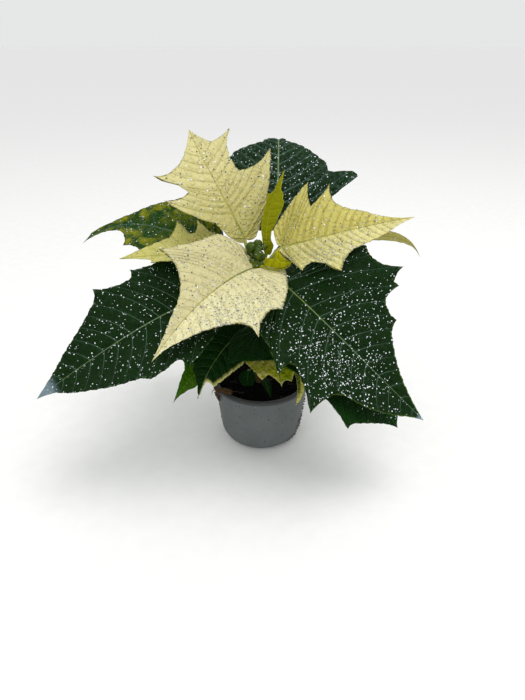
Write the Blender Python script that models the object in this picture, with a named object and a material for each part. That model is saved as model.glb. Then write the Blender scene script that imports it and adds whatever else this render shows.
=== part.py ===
"""Poinsettia with cream bracts growing in a small round nursery pot.

Metres, +Z up. The origin is the middle of the pot's base, on the floor, and the
plant's front, its lowest cream bract, points to -Y.
"""
import math
from dataclasses import dataclass

import bmesh
import bpy
import numpy as np
from mathutils import Vector

MM = 0.001

# Pot: a round nursery pot, 66 mm across the rim, with a curved heel
POT_HEIGHT = 46.5
POT_RIM_RADIUS = 33.2
POT_RIM_WIDTH = 3.2
POT_RIM_DEPTH = 2.4
POT_TOP_RADIUS = 32.6
POT_HEEL_RADIUS = 28.5
POT_HEEL_HEIGHT = 12.0
POT_BASE_RADIUS = 18.4
POT_WALL = 1.0
POT_FLOOR = 1.6
POT_SEGMENTS = 48
DRAIN_HOLES = 6
DRAIN_RADIUS = 2.0
DRAIN_CIRCLE = 12.0

# Soil: a plug with a crumbled top
SOIL_TOP = 42.2
SOIL_LUMP = 1.0
SOIL_RINGS = 5
SOIL_SEGMENTS = 32

# Woody stem, a little bent, in a plain hole in the soil
STEM_POINTS = ((-1.0, 0.0, 32.0), (-1.4, 0.3, 60.0), (-2.4, -0.4, 90.0), (-3.0, 0.0, 132.0))
STEM_FOOT_RADIUS = 2.7
STEM_TOP_RADIUS = 1.9
STEM_SIDES = 10
GAP = 0.3

# Flower buds: (x, y, z, radius). The first two are the core that sits on the stem,
# and the last is the green cup in front of it that the lowest buds grow from
BUDS = (
    (-3.0, 0.0, 135.3, 2.7),
    (-2.6, -0.8, 138.0, 3.2),
    (-6.0, -2.0, 140.0, 3.2),
    (-1.8, 1.0, 141.0, 2.8),
    (-1.4, -4.6, 135.9, 3.4),
    (1.5, 1.0, 139.0, 2.2),
    (-4.5, -3.2, 135.2, 1.9),
    (-4.6, 2.8, 139.4, 2.5),
    (-2.4, -4.9, 131.1, 2.6),
)

# Withered scrap on the left of the rim: its four midrib points
WITHERED = ((-18.5, -22.5, 48.1), (-26, -21, 49.4), (-33.5, -17, 50.6), (-33.5, -13.5, 39))

# Leaves
BLADE_THICKNESS = 0.8
VEIN_SLANT = 0.62
VEIN_BOW = 0.05
PAIR_REACH = 0.02
STALK_SIDES = 6
BEND_SPAN = 40.0


@dataclass
class Leaf:
    """One leaf or bract: where it grows and the shape of its blade, in mm and degrees.

    root is the stalk's place on the stem's axis. base, lean, reach and tip are the
    Bezier points of the blade's midrib. Each margin is a list of (along, out, bulge):
    the distance along the midrib, the distance out from it, and how far the edge
    bows outward on its way there. tail is the bulge of the last run to the tip.
    """

    name: str
    material: str
    root: float
    base: tuple
    lean: tuple
    reach: tuple
    tip: tuple
    roll: float
    fold: tuple
    left: tuple
    right: tuple
    bend: tuple = (0.0, 0.0)
    twist: float = 0.0
    tail: float = -0.6
    stalk: float = 1.1
    step: float = 11.0
    rows: int = 2


LEAVES = (
    Leaf("bract_upper_left", "cream", 130.0, (-10, 5, 143), (-20, 10, 164), (-34, 20, 184), (-43, 30, 202),
         -40.0, (12, 12),
         left=((2, 4, 0), (17, 12, 0.5), (39, 35, 2), (38, 19, -2), (53, 34, -1.5), (53, 20, -1.5), (60, 9, -1)),
         right=((6, 13, 1.5), (40, 39, 2), (37, 16, -3), (63, 23, -4), (60, 9, -1))),
    Leaf("bract_front", "cream", 124.0, (-5, -9, 129), (-20, -27, 131), (-40, -50, 122), (-57, -73, 102),
         -25.0, (20, 20),
         left=((-8, 14, 1), (1, 28, 1), (25, 42, 1), (29, 37, -0.5), (50, 45, -2), (47, 31, -2), (67, 11, -2),
               (77, 4, 0)),
         right=((-3, 12, 1), (4, 26, 1), (12, 28, 1), (41, 37, -2), (40, 25, -0.5), (57, 8, -3), (66, 5, 0))),
    Leaf("bract_right", "cream", 126.5, (13, -2.2, 140.2), (36.5, -2.9, 146.6), (64.5, 0, 153.3), (91, 0, 158),
         38.0, (20, 20),
         left=((-1, 11, 1), (24, 35, 1), (22, 20, -1), (36, 31, -1), (37, 18, -1.5), (51, 10, -1), (65, 3, -0.5)),
         right=((2, 11, 0), (9, 26, 0), (15, 21, -1), (29, 34, -2), (39, 18, -1.5), (63, 9, 0.5))),
    Leaf("bract_back_left", "olive", 127.0, (-14, 0, 133), (-35, 0, 135), (-62, -2, 136), (-86, -3, 133),
         0.0, (6, 25),
         left=((5, 10, 1), (39, 15, 1), (51, 17, 0), (55, 10, -1)),
         right=((5, 12, 1), (27, 31, 0), (30, 18, -1.5), (39, 29, -1.5), (44, 16, -1))),
    Leaf("bract_back_right", "olive", 122.5, (6, 6, 130), (40, 18, 139), (97, 31, 147), (107, 30, 122),
         0.0, (12, 12),
         left=((2, 2.6, 0), (14, 4, 0), (36, 22, 2), (40, 14, -1), (60, 11, -1), (82, 6, 0), (95, 3, 0)),
         right=((5, 11, 1), (34, 24, 1), (40, 14, -1.5), (62, 11, -1), (84, 8, 0), (96, 5, 0))),
    Leaf("young_bract_upright", "young", 129.5, (4.4, 3.2, 133.5), (4, 4.6, 143), (4.5, 8, 168), (14, 9, 183),
         -21.0, (10, 10),
         left=((1, 1.8, 0), (18, 2.2, 0), (32, 6.5, 1), (45, 3, 1)),
         right=((1, 1.8, 0), (9, 3.4, 0.5), (15, 1.9, -0.3), (29.5, 7.5, 1), (36, 8.3, 0), (37.5, 6.4, 0),
                (42, 6.2, 0), (43.5, 4.3, 0)),
         stalk=1.0, step=9.0),
    Leaf("young_bract_cup", "young", 119.5, (3.2, -7.4, 131), (8, -10, 129.6), (14.5, -11.2, 129.6), (18.9, -10, 134.4),
         0.0, (76, 66), bend=(-30, -30),
         left=((1, 6, 0.5), (6.5, 10, 0.6), (10.5, 7, 0.2), (15, 3.5, -0.4)),
         right=((1, 6, 0.4), (8, 9, 0), (10.5, 7, -0.3), (15, 3.2, -0.3)),
         stalk=0.9, step=6.0),
    Leaf("leaf_front_right", "green", 108.0, (13, -19, 124), (33, -36, 112), (66, -52, 82), (96, -60, 54),
         28.0, (16, 16),
         left=((3, 29, 2), (20, 49, 1), (32, 47, -1.5), (44, 55, -1), (46, 45, -1), (50, 45, 0), (50, 34, -1),
               (63, 30, -1.5), (66, 23, -0.5), (91, 8, -1)),
         right=((12, 29, 2), (37, 46, 1.5), (37, 37, -1), (42, 36, -0.5), (61, 50, -0.5), (64, 33, -1),
                (72, 26, -1), (101, 11, 1.5))),
    Leaf("leaf_left", "green", 110.0, (-24, -15, 117), (-58, -32, 114), (-96, -52, 92), (-127, -64, 72),
         -26.0, (14, 14),
         left=((16, 31, 2), (42, 46, 1), (45, 37, -1), (63, 39, 1), (69, 34, -0.5), (96, 19, 0.5), (111, 6, 0.5)),
         right=((8, 20, 1.5), (24, 32, 1), (41, 35, -1), (44, 30, -1), (64, 36, -2), (68, 28, -1), (96, 13, -0.5))),
    Leaf("leaf_back", "green", 116.0, (10, 18, 144.5), (11, 34, 172), (12, 60, 212), (12, 100, 177),
         0.0, (10, 10), bend=(15, 10),
         left=((2, 22, 2), (34, 50, 2), (41, 36, -1.5), (53, 28, 0), (64, 11, 0.5), (76, 5, 0)),
         right=((2, 22, 2), (34, 51, 2), (40, 32, -1.5), (53, 15, 0.5), (76, 5, 0))),
    Leaf("leaf_back_left", "mottled", 114.0, (-28, 22, 126), (-60, 40, 142), (-100, 56, 148), (-124, 50, 121.5),
         -25.0, (15, 15),
         left=((8, 18, 1.5), (42, 30, 1), (50, 26, -0.5), (60, 28, -1), (66, 17, -1), (75, 8, -1), (99, 2.5, 0)),
         right=((8, 16, 1.5), (40, 31, 1), (45, 24, -1), (59, 15, 0), (69, 8.5, 0), (84, 3.5, 0), (100, 2.5, 0))),
    Leaf("leaf_front_left_low", "green", 83.0, (-8, -4, 88), (-20, -20, 86.5), (-33, -31, 75), (-38.5, -34, 51),
         -12.0, (10, 14),
         left=((6, 14, 1.5), (28, 19, 1), (48, 9, 0.5), (47.5, 4.5, -0.3), (51, 2.5, -0.5), (57, 1.4, 0)),
         right=((6, 14, 1.5), (28, 20, 1), (46, 10, -0.5), (54, 3.5, -0.5), (58, 2, 0)), step=9.0),
    Leaf("leaf_left_low", "bright", 70.0, (-18, -3, 68), (-32, -12, 70), (-49.5, -26, 60), (-57, -30, 44.3),
         -15.0, (15, 15),
         left=((4, 8, 1), (24, 10, 1), (38, 9, 0), (46, 3.5, -0.5)),
         right=((6, 12, 1.5), (22, 17, 0.5), (31, 13, -1), (35, 7, -1), (43, 3.5, 0)), step=9.0),
    Leaf("leaf_right_low", "green", 89.0, (1, -17, 93), (26, -33, 90), (62, -48, 75), (84, -52, 42),
         20.0, (15, 15),
         left=((6, 22, 2), (40, 34, 1), (46, 26, -1), (64, 28, -1), (68, 19, -1), (102, 4.5, 0)),
         right=((-10, 8, 0), (-8, 24, 1), (3, 41, 0), (10, 32, -1), (20, 23, 0.5), (34, 22, 0), (75, 34, -1),
                (78, 26, -1), (93, 11, 0))),
    Leaf("leaf_front_low", "mottled", 72.0, (4, -10, 74), (8, -18, 75), (11, -26, 70), (13, -34, 60),
         0.0, (12, 12),
         left=((3, 10, 1), (18, 13, 1), (28, 7, 0), (27, 3, -0.4)),
         right=((3, 12, 1), (12, 21, 1), (25, 13, 0.6), (22, 8, -0.6), (27, 2, -0.6)), stalk=0.9, step=8.0),
    Leaf("leaf_hooked_low", "mottled", 82.0, (12, -15, 80), (21, -27, 83), (28, -40, 67), (26.5, -45, 50),
         0.0, (12, 12),
         left=((3, 6, 1), (30, 6, 0.5), (43, 2.5, 0)),
         right=((3, 6, 1), (30, 7, 0.5), (42, 7, -0.5), (43, 3, -0.3)), stalk=0.9, step=9.0),
    Leaf("leaf_hidden_back_right", "green", 100.0, (20, 20, 112), (42, 44, 116), (66, 70, 98), (76, 84, 72),
         0.0, (12, 12),
         left=((4, 22, 2), (30, 38, 1), (36, 29, -1), (54, 32, -1), (60, 20, -1), (84, 6, 0)),
         right=((4, 22, 2), (32, 38, 1), (37, 28, -1), (52, 30, -1), (58, 20, -1), (84, 6, 0))),
    Leaf("leaf_hidden_back_left", "green", 94.0, (-22, 18, 104), (-44, 38, 108), (-66, 58, 92), (-76, 66, 70),
         0.0, (12, 12),
         left=((4, 20, 2), (28, 32, 1), (33, 25, -1), (48, 27, -1), (54, 17, -1), (76, 5, 0)),
         right=((4, 20, 2), (26, 33, 1), (32, 25, -1), (50, 26, -1), (55, 17, -1), (76, 5, 0))),
    Leaf("leaf_basal_round", "green", 48.5, (-8.8, -5.2, 53.8), (-9, -7, 51), (-9.5, -9, 48), (-9.8, -10.8, 45.2),
         0.0, (5, 5),
         left=((2, 4.2, 0.9), (8.2, 4.2, 1.0)),
         right=((2, 4.2, 0.9), (8.2, 4.2, 1.0)), tail=0.9, stalk=0.6, step=3.0),
    Leaf("leaf_basal_narrow", "green", 46.5, (1.5, -7, 48.5), (3, -12, 49.2), (5, -18, 47.8), (6.5, -24.5, 45),
         0.0, (15, 15),
         left=((2, 2.8, 0.5), (10, 2.6, 0.4)),
         right=((2, 2.8, 0.5), (10, 2.6, 0.4)), tail=0.3, stalk=0.6, step=6.0),
)


def clear_scene():
    """Remove every object that the file starts with."""
    for thing in list(bpy.data.objects):
        bpy.data.objects.remove(thing)


def make_material(name, colour, roughness):
    """Return a Principled material of one colour."""
    material = bpy.data.materials.new(name)
    material.use_nodes = True
    shader = material.node_tree.nodes["Principled BSDF"]
    shader.inputs["Base Color"].default_value = (*colour, 1.0)
    shader.inputs["Roughness"].default_value = roughness
    shader.inputs["Metallic"].default_value = 0.0
    return material


def link_mesh(name, mesh, material):
    """Put a mesh in the scene as one named object with one material."""
    mesh.materials.clear()
    mesh.materials.append(material)
    thing = bpy.data.objects.new(name, mesh)
    bpy.context.collection.objects.link(thing)
    return thing


def finish_bmesh(bm, name):
    """Close a bmesh into a new mesh with its faces turned outward."""
    bmesh.ops.recalc_face_normals(bm, faces=bm.faces)
    mesh = bpy.data.meshes.new(name)
    bm.to_mesh(mesh)
    bm.free()
    return mesh


# Curves in space


def bezier(points, count):
    """Return count + 1 places along a cubic Bezier curve."""
    p = np.array(points, dtype=float)
    t = np.linspace(0.0, 1.0, count + 1)[:, None]
    return (1 - t) ** 3 * p[0] + 3 * (1 - t) ** 2 * t * p[1] + 3 * (1 - t) * t * t * p[2] + t ** 3 * p[3]


def turned(vector, axis, angle):
    """Turn a vector about a unit axis."""
    return (vector * math.cos(angle) + np.cross(axis, vector) * math.sin(angle)
            + axis * np.dot(axis, vector) * (1 - math.cos(angle)))


class Midrib:
    """The blade's centre line with a side and an upward direction at each place."""

    COUNT = 60

    def __init__(self, leaf):
        places = bezier((leaf.base, leaf.lean, leaf.reach, leaf.tip), self.COUNT)
        runs = np.linalg.norm(np.diff(places, axis=0), axis=1)
        self.along = np.concatenate([[0.0], np.cumsum(runs)])
        self.length = self.along[-1]
        heading = np.gradient(places, axis=0)
        heading /= np.linalg.norm(heading, axis=1)[:, None]
        side = np.cross((0.0, 0.0, 1.0), heading[0])
        side = turned(side / np.linalg.norm(side), heading[0], math.radians(leaf.roll))
        sides = [side]
        for before, after in zip(heading[:-1], heading[1:]):
            side = side - after * np.dot(side, after)
            side = side / np.linalg.norm(side)
            sides.append(side)
        twist = math.radians(leaf.twist) * self.along / self.length
        sides = np.array([turned(s, h, a) for s, h, a in zip(sides, heading, twist)])
        self.tables = (places, heading, sides, np.cross(heading, sides))

    def at(self, along):
        """Return place, heading, side and up at distances along the midrib."""
        return [np.stack([np.interp(along, self.along, table[:, k]) for k in range(3)], axis=-1)
                for table in self.tables]


def arc(start, end, bulge, count):
    """Return count + 1 points from start to end along a run that bows outward."""
    start, run = np.array(start, dtype=float), np.array(end, dtype=float) - np.array(start, dtype=float)
    outward = np.array((-run[1], run[0])) / max(float(np.linalg.norm(run)), 1e-9)
    t = np.linspace(0.0, 1.0, count + 1)[:, None]
    return start + run * t + outward * bulge * 4 * t * (1 - t)


def margin_points(rows, length, tail):
    """Return the margin beyond its first run as close points, and its corners' places."""
    points = [np.array(rows[0][:2], dtype=float)]
    corners = [0]
    for along, out, bulge in (*rows[1:], (length, 0.0, tail)):
        end = np.array((along, out), dtype=float)
        count = max(2, round(float(np.linalg.norm(end - points[-1]))))
        points.extend(arc(points[-1], end, bulge, count)[1:])
        corners.append(len(points) - 1)
    return np.array(points), corners


def margin_keys(points, length):
    """Number the margin's points by where their side vein leaves the midrib.

    The points whose vein leaves at the blade's base are numbered from -1 to 0 by
    their distance round the margin, the others from 0 to 1 along the midrib.
    """
    distance = np.concatenate([[0.0], np.cumsum(np.linalg.norm(np.diff(points, axis=0), axis=1))])
    start = np.clip(points[:, 0] - points[:, 1] * VEIN_SLANT, 0.0, length)
    start = np.maximum.accumulate(start)
    fan = int((start <= 1e-9).sum())
    key = start / length
    key[:fan] = distance[:fan] / max(distance[fan - 1], 1e-9) - 1.0 - 1e-6
    for i in range(1, len(key)):
        key[i] = max(key[i], key[i - 1] + 1e-7)
    return key, distance


def paired_marks(left, right):
    """Pair the keys of the two margins' corners, so that near ones share a column."""
    items = sorted([(key, 0) for key in left] + [(key, 1) for key in right])
    marks = []
    i = 0
    while i < len(items):
        key, side = items[i]
        paired = i + 1 < len(items) and items[i + 1][1] != side and items[i + 1][0] - key < PAIR_REACH
        if paired:
            other = items[i + 1][0]
            marks.append((key, other) if side == 0 else (other, key))
        elif not marks or key - max(marks[-1]) > 1e-6:
            marks.append((key, key))
        i += 2 if paired else 1
    return np.array(marks)


def blade_plane(leaf, length, step, rows):
    """Return the blade's flat net as an array of (along, across), left side first.

    Its first column is the margin's first run on each side. The others follow the
    side veins, and one passes through every corner of both margins.
    """
    margins = []
    corner_keys = []
    for rows_of_side in (leaf.left, leaf.right):
        points, corners = margin_points(rows_of_side, length, leaf.tail)
        key, distance = margin_keys(points, length)
        margins.append((points, key, distance))
        corner_keys.append([float(key[i]) for i in corners])
    marks = paired_marks(*corner_keys)
    columns = []
    for low, high in zip(marks[:-1], marks[1:]):
        run = max(np.interp(high[k], key, distance) - np.interp(low[k], key, distance)
                  for k, (_, key, distance) in enumerate(margins))
        count = max(1, math.ceil(run / step))
        columns += [low + (high - low) * i / count for i in range(count)]
    columns = np.array(columns + [marks[-1]])
    origin = np.clip(columns, 0.0, 1.0).mean(axis=1) * length
    net = np.zeros((len(columns), 2 * rows + 1, 2))
    for k, (sign, first_rows) in enumerate(((1, leaf.left), (-1, leaf.right))):
        points, key, _ = margins[k]
        edge = np.stack([np.interp(columns[:, k], key, points[:, axis]) for axis in range(2)], axis=-1)
        edge[-1] = (length, 0.0)
        for i in range(rows + 1):
            t = i / rows
            bow = VEIN_BOW * edge[:, 1] * 4 * t * (1 - t) * np.clip(origin / 10.0, 0.0, 1.0)
            net[:, rows + sign * i, 0] = origin + t * (edge[:, 0] - origin) - bow
            net[:, rows + sign * i, 1] = sign * t * edge[:, 1]
        first = arc((0.0, 0.0), first_rows[0][:2], first_rows[0][2], rows)
        net[0, [rows + sign * i for i in range(rows + 1)], 0] = first[:, 0]
        net[0, [rows + sign * i for i in range(rows + 1)], 1] = sign * first[:, 1]
    return net


def blade_surface(leaf, rib, net):
    """Lift the flat net into space: fold it along the midrib and bend its halves."""
    along, across = net[..., 0].ravel(), net[..., 1].ravel()
    held = np.clip(along, 0.0, rib.length)
    place, heading, side, up = rib.at(held)
    place = place + heading * (along - held)[:, None]
    out = np.abs(across)
    surface = np.zeros_like(place)
    for sign, fold, bend in zip((1, -1), leaf.fold, leaf.bend):
        chosen = (across >= 0) if sign > 0 else (across < 0)
        angle = math.radians(fold)
        curl = math.radians(bend) / BEND_SPAN
        reach = out[chosen]
        if abs(curl) < 1e-6:
            sideways, rise = reach * math.cos(angle), reach * math.sin(angle)
        else:
            sideways = (math.sin(angle) - np.sin(angle - curl * reach)) / curl
            rise = (np.cos(angle - curl * reach) - math.cos(angle)) / curl
        surface[chosen] = place[chosen] + sign * sideways[:, None] * side[chosen] + rise[:, None] * up[chosen]
    return surface.reshape(*net.shape[:2], 3), up.reshape(*net.shape[:2], 3)


def build_blade(leaf, rib):
    """Make the blade as a thin closed solid."""
    net = blade_plane(leaf, rib.length, leaf.step, leaf.rows)
    top, up = blade_surface(leaf, rib, net)
    columns, across = top.shape[:2]
    bm = bmesh.new()
    bmesh.ops.create_grid(bm, x_segments=columns - 1, y_segments=across - 1, size=1.0)
    upward = bm.verts.layers.float_vector.new("upward")
    order = sorted(bm.verts, key=lambda v: (round(v.co.x, 5), round(v.co.y, 5)))
    for vert, place, direction in zip(order, top.reshape(-1, 3), up.reshape(-1, 3)):
        vert.co = Vector(place) * MM
        vert[upward] = Vector(direction)
    bmesh.ops.remove_doubles(bm, verts=bm.verts, dist=1e-6)
    bmesh.ops.dissolve_degenerate(bm, dist=1e-7, edges=bm.edges)
    bmesh.ops.triangulate(bm, faces=bm.faces, quad_method="SHORT_EDGE")
    bm.normal_update()
    for vert in bm.verts:
        vert[upward] = vert.normal if vert.normal.dot(vert[upward]) > 0 else -vert.normal
    shell = bmesh.ops.extrude_face_region(bm, geom=list(bm.faces))
    for vert in (item for item in shell["geom"] if isinstance(item, bmesh.types.BMVert)):
        vert.co -= vert[upward] * BLADE_THICKNESS * MM
    return finish_bmesh(bm, leaf.name)


def stem_axis(height):
    """Return the stem axis's place at a height."""
    places = bezier(STEM_POINTS, 60)
    return np.array([np.interp(height, places[:, 2], places[:, k]) for k in range(3)])


def stem_radius(height):
    """Return the stem's radius at a height."""
    low, high = STEM_POINTS[0][2], STEM_POINTS[3][2]
    share = (height - low) / (high - low)
    return STEM_FOOT_RADIUS + (STEM_TOP_RADIUS - STEM_FOOT_RADIUS) * share


def swept_mesh(name, places, radii, sides):
    """Sweep a round section along places, with closed ends."""
    curve = bpy.data.curves.new(name, "CURVE")
    curve.dimensions = "3D"
    curve.bevel_depth = MM
    curve.bevel_resolution = (sides - 4) // 2
    curve.use_fill_caps = True
    spline = curve.splines.new("POLY")
    spline.points.add(len(places) - 1)
    for point, place, radius in zip(spline.points, places, radii):
        point.co = (*(np.array(place) * MM), 1.0)
        point.radius = radius
    holder = bpy.data.objects.new(name, curve)
    bpy.context.collection.objects.link(holder)
    mesh = bpy.data.meshes.new_from_object(holder.evaluated_get(bpy.context.evaluated_depsgraph_get()))
    bpy.data.objects.remove(holder)
    bm = bmesh.new()
    bm.from_mesh(mesh)
    bmesh.ops.remove_doubles(bm, verts=bm.verts, dist=1e-7)
    return finish_bmesh(bm, name)


def stalk_path(leaf, rib):
    """Return places and radii of the stalk and the rib under the blade."""
    axis = stem_axis(leaf.root)
    base = np.array(leaf.base, dtype=float)
    outward = base - axis
    outward[2] = 0.0
    outward /= np.linalg.norm(outward)
    seat = axis + outward * (stem_radius(leaf.root) + GAP)
    start = seat + outward * 1.5
    place, heading, _, up = rib.at(np.linspace(0.0, 0.82, 7) * rib.length)
    radii = np.linspace(leaf.stalk, 0.45, 7)
    keel = place - up * (radii + 0.15)[:, None]
    span = float(np.linalg.norm(keel[0] - start))
    bend = (start, start + outward * span * 0.35 + np.array((0, 0, span * 0.12)), keel[0] - heading[0] * span * 0.3,
            keel[0])
    count = max(3, round(span / 7))
    stalk = bezier(bend, count)[:-1]
    places = np.concatenate([[seat], stalk, keel])
    return places, np.concatenate([np.full(len(stalk) + 1, leaf.stalk), radii])


def solid_volume(mesh):
    """Return the volume inside a closed mesh, or zero where it isn't closed."""
    bm = bmesh.new()
    bm.from_mesh(mesh)
    closed = all(len(edge.link_faces) == 2 for edge in bm.edges)
    volume = bm.calc_volume() if closed else 0.0
    bm.free()
    return volume


def union(name, meshes):
    """Join overlapping closed meshes, by the second solver where the first one fails."""
    largest = max(solid_volume(mesh) for mesh in meshes)
    for solver in ("EXACT", "MANIFOLD"):
        joined = union_with(name, meshes, solver)
        if solid_volume(joined) > largest:
            break
    return joined


def union_with(name, meshes, solver):
    """Join overlapping closed meshes into one mesh with one Boolean solver."""
    first = bpy.data.objects.new(name, meshes[0])
    bpy.context.collection.objects.link(first)
    others = bpy.data.collections.new(name + "_others")
    for mesh in meshes[1:]:
        others.objects.link(bpy.data.objects.new(mesh.name, mesh))
    bpy.context.scene.collection.children.link(others)
    join = first.modifiers.new("join", "BOOLEAN")
    join.operation = "UNION"
    join.operand_type = "COLLECTION"
    join.collection = others
    join.solver = solver
    joined = bpy.data.meshes.new_from_object(first.evaluated_get(bpy.context.evaluated_depsgraph_get()))
    for thing in list(others.objects):
        bpy.data.objects.remove(thing)
    bpy.data.collections.remove(others)
    bpy.data.objects.remove(first)
    return joined


def cleaned(mesh, name):
    """Weld the small slivers that a Boolean leaves, and split into triangles."""
    bm = bmesh.new()
    bm.from_mesh(mesh)
    bmesh.ops.remove_doubles(bm, verts=bm.verts, dist=2e-6)
    bmesh.ops.dissolve_degenerate(bm, dist=1e-6, edges=bm.edges)
    bmesh.ops.triangulate(bm, faces=bm.faces)
    return finish_bmesh(bm, name)


def build_leaf(leaf, material):
    """Make one leaf: its blade, and its stalk and rib, as one body."""
    rib = Midrib(leaf)
    blade = build_blade(leaf, rib)
    places, radii = stalk_path(leaf, rib)
    stalk = swept_mesh(leaf.name + "_stalk", places, radii, STALK_SIDES)
    return link_mesh(leaf.name, cleaned(union(leaf.name, [blade, stalk]), leaf.name), material)


# Pot, soil, stem and flowers


def lathe(name, profile, segments):
    """Spin a closed profile of (radius, height), in mm, into a solid about the Z axis."""
    bm = bmesh.new()
    verts = [bm.verts.new((radius * MM, 0.0, height * MM)) for radius, height in profile]
    edges = [bm.edges.new((a, b)) for a, b in zip(verts[:-1], verts[1:])]
    bmesh.ops.spin(bm, geom=verts + edges, cent=(0, 0, 0), axis=(0, 0, 1), angle=math.tau, steps=segments,
                   use_merge=True, use_normal_flip=False, use_duplicate=False)
    bmesh.ops.remove_doubles(bm, verts=bm.verts, dist=1e-6)
    bmesh.ops.dissolve_degenerate(bm, dist=1e-7, edges=bm.edges)
    return bm


def pot_wall_radius(height):
    """Return the outer radius of the pot at a height: a curved heel and a tapered wall."""
    if height < POT_HEEL_HEIGHT:
        sine = math.sqrt(1.0 - (1.0 - height / POT_HEEL_HEIGHT) ** 2)
        return POT_BASE_RADIUS + (POT_HEEL_RADIUS - POT_BASE_RADIUS) * sine
    share = (height - POT_HEEL_HEIGHT) / (POT_HEIGHT - POT_HEEL_HEIGHT)
    return POT_HEEL_RADIUS + (POT_TOP_RADIUS - POT_HEEL_RADIUS) * share


def pot_inner_radius(height):
    """Return the inner radius of the pot's wall at a height."""
    return pot_wall_radius(max(height - POT_FLOOR, 0.0)) - POT_WALL


def build_pot(material):
    """Make the pot with its thick rim, curved heel, flat base and drain holes."""
    band = POT_HEIGHT - POT_RIM_DEPTH
    profile = ([(0.0, 0.0)]
               + [(pot_wall_radius(height), height) for height in (0.0, 0.4, 1.4, 3.2, 6.4, POT_HEEL_HEIGHT, band)]
               + [(POT_RIM_RADIUS, band + 0.6), (POT_RIM_RADIUS, POT_HEIGHT - 0.7),
                  (POT_RIM_RADIUS - 0.7, POT_HEIGHT), (POT_RIM_RADIUS - POT_RIM_WIDTH + 0.6, POT_HEIGHT),
                  (POT_RIM_RADIUS - POT_RIM_WIDTH, POT_HEIGHT - 0.5), (POT_RIM_RADIUS - POT_RIM_WIDTH, band)]
               + [(pot_inner_radius(height), height) for height in (band - 1.4, 13.6, 8.0, 4.6, 2.8)]
               + [(pot_inner_radius(POT_FLOOR), POT_FLOOR), (0.0, POT_FLOOR)])
    bm = lathe("pot", profile, POT_SEGMENTS)
    shell = finish_bmesh(bm, "pot_shell")
    pot = link_mesh("pot", shell, material)
    drills = bmesh.new()
    for i in range(DRAIN_HOLES):
        angle = math.tau * i / DRAIN_HOLES
        made = bmesh.ops.create_cone(drills, cap_ends=True, segments=12, radius1=DRAIN_RADIUS * MM,
                                     radius2=DRAIN_RADIUS * MM, depth=12 * MM)
        bmesh.ops.translate(drills, verts=made["verts"], vec=Vector((math.cos(angle), math.sin(angle), 0.0))
                            * DRAIN_CIRCLE * MM)
    drill = bpy.data.objects.new("drills", finish_bmesh(drills, "drills"))
    bpy.context.collection.objects.link(drill)
    cut = pot.modifiers.new("drain_holes", "BOOLEAN")
    cut.operation = "DIFFERENCE"
    cut.solver = "EXACT"
    cut.object = drill
    mesh = bpy.data.meshes.new_from_object(pot.evaluated_get(bpy.context.evaluated_depsgraph_get()))
    pot.modifiers.remove(cut)
    bpy.data.objects.remove(drill)
    pot.data = cleaned(mesh, "pot")
    pot.data.materials.clear()
    pot.data.materials.append(material)


def soil_height(x, y):
    """Return how far the crumbled soil stands above its mean level."""
    return SOIL_LUMP * (math.sin(0.42 * x + 1.0) * math.cos(0.37 * y - 0.6)
                        + 0.5 * math.sin(0.95 * x - 0.7 * y) + 0.3 * math.cos(1.3 * y + 0.5 * x)) * 0.6


def build_soil(material):
    """Make the soil plug that fills the pot, with a plain hole for the stem."""
    floor = POT_FLOOR + GAP
    foot_x, foot_y, foot_z = STEM_POINTS[0]
    hole = STEM_FOOT_RADIUS + GAP
    outer = POT_RIM_RADIUS - POT_RIM_WIDTH - GAP
    rings = [hole + (outer - hole) * i / SOIL_RINGS for i in range(SOIL_RINGS + 1)]
    profile = ([(0.0, foot_z - GAP), (hole, foot_z - GAP)]
               + [(radius, SOIL_TOP) for radius in rings]
               + [(pot_inner_radius(height) - GAP, height) for height in (SOIL_TOP - 3.0, 13.6, 8.2, 4.8, 3.0)]
               + [(pot_inner_radius(POT_FLOOR) - GAP, floor), (0.0, floor)])
    bm = lathe("soil", profile, SOIL_SEGMENTS)
    for vert in bm.verts:
        x, y = vert.co.x / MM, vert.co.y / MM
        radius = math.hypot(x, y)
        if radius < hole + 0.1:
            vert.co.x += foot_x * MM
            vert.co.y += foot_y * MM
        elif vert.co.z > (SOIL_TOP - 0.1) * MM:
            vert.co.z += soil_height(x, y) * MM
    bmesh.ops.triangulate(bm, faces=bm.faces)
    link_mesh("soil", finish_bmesh(bm, "soil"), material)


def build_stem(material):
    """Make the woody stem."""
    places = bezier(STEM_POINTS, 9)
    radii = [stem_radius(place[2]) for place in places]
    link_mesh("stem", swept_mesh("stem", places, radii, STEM_SIDES), material)


def build_flowers(material):
    """Make the cluster of small flower buds above the stem as one body."""
    meshes = []
    for i, (x, y, z, radius) in enumerate(BUDS):
        bud = bmesh.new()
        bmesh.ops.create_icosphere(bud, subdivisions=2, radius=radius * MM)
        bmesh.ops.translate(bud, verts=bud.verts, vec=Vector((x, y, z)) * MM)
        meshes.append(finish_bmesh(bud, "bud_%d" % i))
    link_mesh("flower_buds", cleaned(union("flower_buds", meshes), "flower_buds"), material)


def build_withered_leaf(material):
    """Make the dry curled scrap that lies on the soil and over the rim."""
    leaf = Leaf("leaf_withered", "dry", 0.0, *WITHERED, 0.0, (-8, -8), bend=(20, 20),
                left=((1, 2.4, 0.4), (9, 2.5, 0.5)), right=((1, 2.4, 0.4), (9, 2.5, 0.5)), step=5.0)
    link_mesh(leaf.name, build_blade(leaf, Midrib(leaf)), material)


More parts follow.
